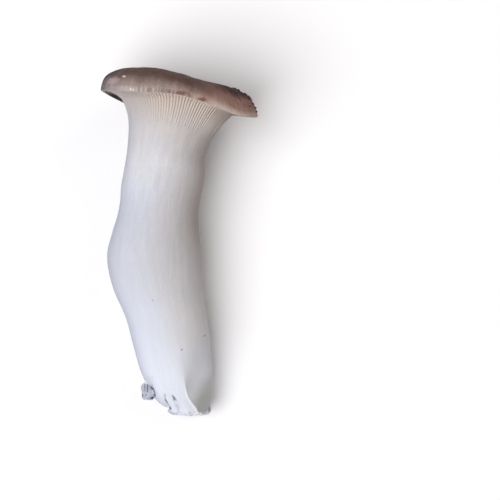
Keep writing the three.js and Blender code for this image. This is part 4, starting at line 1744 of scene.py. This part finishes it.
def make_bud_flesh():
    material, tree, shader, here = new_finish("bud flesh", subsurface=0.12, specular=0.12)
    cloud, fine = mottled(tree, here, 0.0030, 0.7, 14.0), mottled(tree, here, 0.0007, 0.7, 15.0)
    colour = blended(tree, cloud, tint("BCC0CC"), tint("A6A9B8"))
    colour = painted(tree, colour, "D3DCDD", eased(tree, part_of(tree, here, "Y"), *BUD_NECK))
    # painted shade in the bud's folds, darker the deeper the fold
    colour = painted(tree, colour, "5A5664", eased(tree, value_of(tree, "hollow"), 0.03, 0.42))
    roughness = maths(tree, "MULTIPLY_ADD", fine, 0.2, 0.5)
    finish_surface(tree, shader, colour, roughness, fine, BUD_BUMPS)
    return material


bud.data.materials.append(make_bud_flesh())

# %% [markdown]
# ## Scales of dry skin
#
# On the +X shoulder of the cap the skin dried first, and it stands up there in small dark scales
# that make the outline rough. Each one is a squashed ball with a few faces, turned at random and
# half sunk in the skin. They are dealt out from a fixed seed, thick in the middle of the patch
# and thin round it.

# %% Scales of dry skin
SCALE_COUNT = 52
SCALE_SINK = 0.42  # mm
SCALE_SPREAD = 0.13  # radians to each side of +X
SCALE_BAND = (0.62, 0.985)  # from the cap's middle (0) to its margin (1)
SCALE_SIZES = (0.35, 0.35, 0.30), (0.85, 0.65, 0.60)  # mm, the smallest and the largest half sizes
SCALE_BUMPS = 0.00008


def skin_normal(at, share):
    """The way out of the cap's skin, from two small steps along it."""
    step = 0.01
    here = cap_top(at, share)
    return unit(np.cross(cap_top(at, share - step) - here, cap_top(at + step, share) - here))


def make_scales():
    draw = np.random.default_rng(23)
    mesh = bpy.data.meshes.new("dry_scales")
    work = bmesh.new()
    for _ in range(SCALE_COUNT):
        share, at = np.array(draw.uniform(*SCALE_BAND)), np.array(draw.normal(0.0, SCALE_SPREAD))
        sizes = draw.uniform(*SCALE_SIZES)
        turned = Vector(draw.normal(size=3)).to_track_quat("Z", "Y")
        middle = cap_top(at, share) - skin_normal(at, share) * SCALE_SINK
        matrix = Matrix.LocRotScale(Vector(middle) * MM, turned, Vector(sizes) * MM)
        bmesh.ops.create_icosphere(work, subdivisions=2, radius=1.0, matrix=matrix)
    work.to_mesh(mesh)
    work.free()
    mesh.shade_smooth()
    print("scales:", SCALE_COUNT, "of", len(mesh.polygons) // SCALE_COUNT, "faces")
    return new_piece("dry_scales", mesh)


def make_dry_skin():
    material, tree, shader, here = new_finish("dry skin", specular=0.08)
    cloud = mottled(tree, here, 0.0016, 0.9, 19.0)
    colour = blended(tree, cloud, tint("463129"), tint("7A5C51"))
    roughness = maths(tree, "MULTIPLY_ADD", cloud, 0.1, 0.7)
    finish_surface(tree, shader, colour, roughness, cloud, SCALE_BUMPS)
    return material


scales = make_scales()
scales.data.materials.append(make_dry_skin())

# %% [markdown]
# ## Hand the pieces to the frame
#
# Every piece rides on the one body and stands for the plain solid. Both boxes are kept, so that
# the sizes can be compared.

# %% Hand the pieces to the frame
for piece in [body, *gills, bud, scales]:
    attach(piece, "root")
    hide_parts("mushroom")
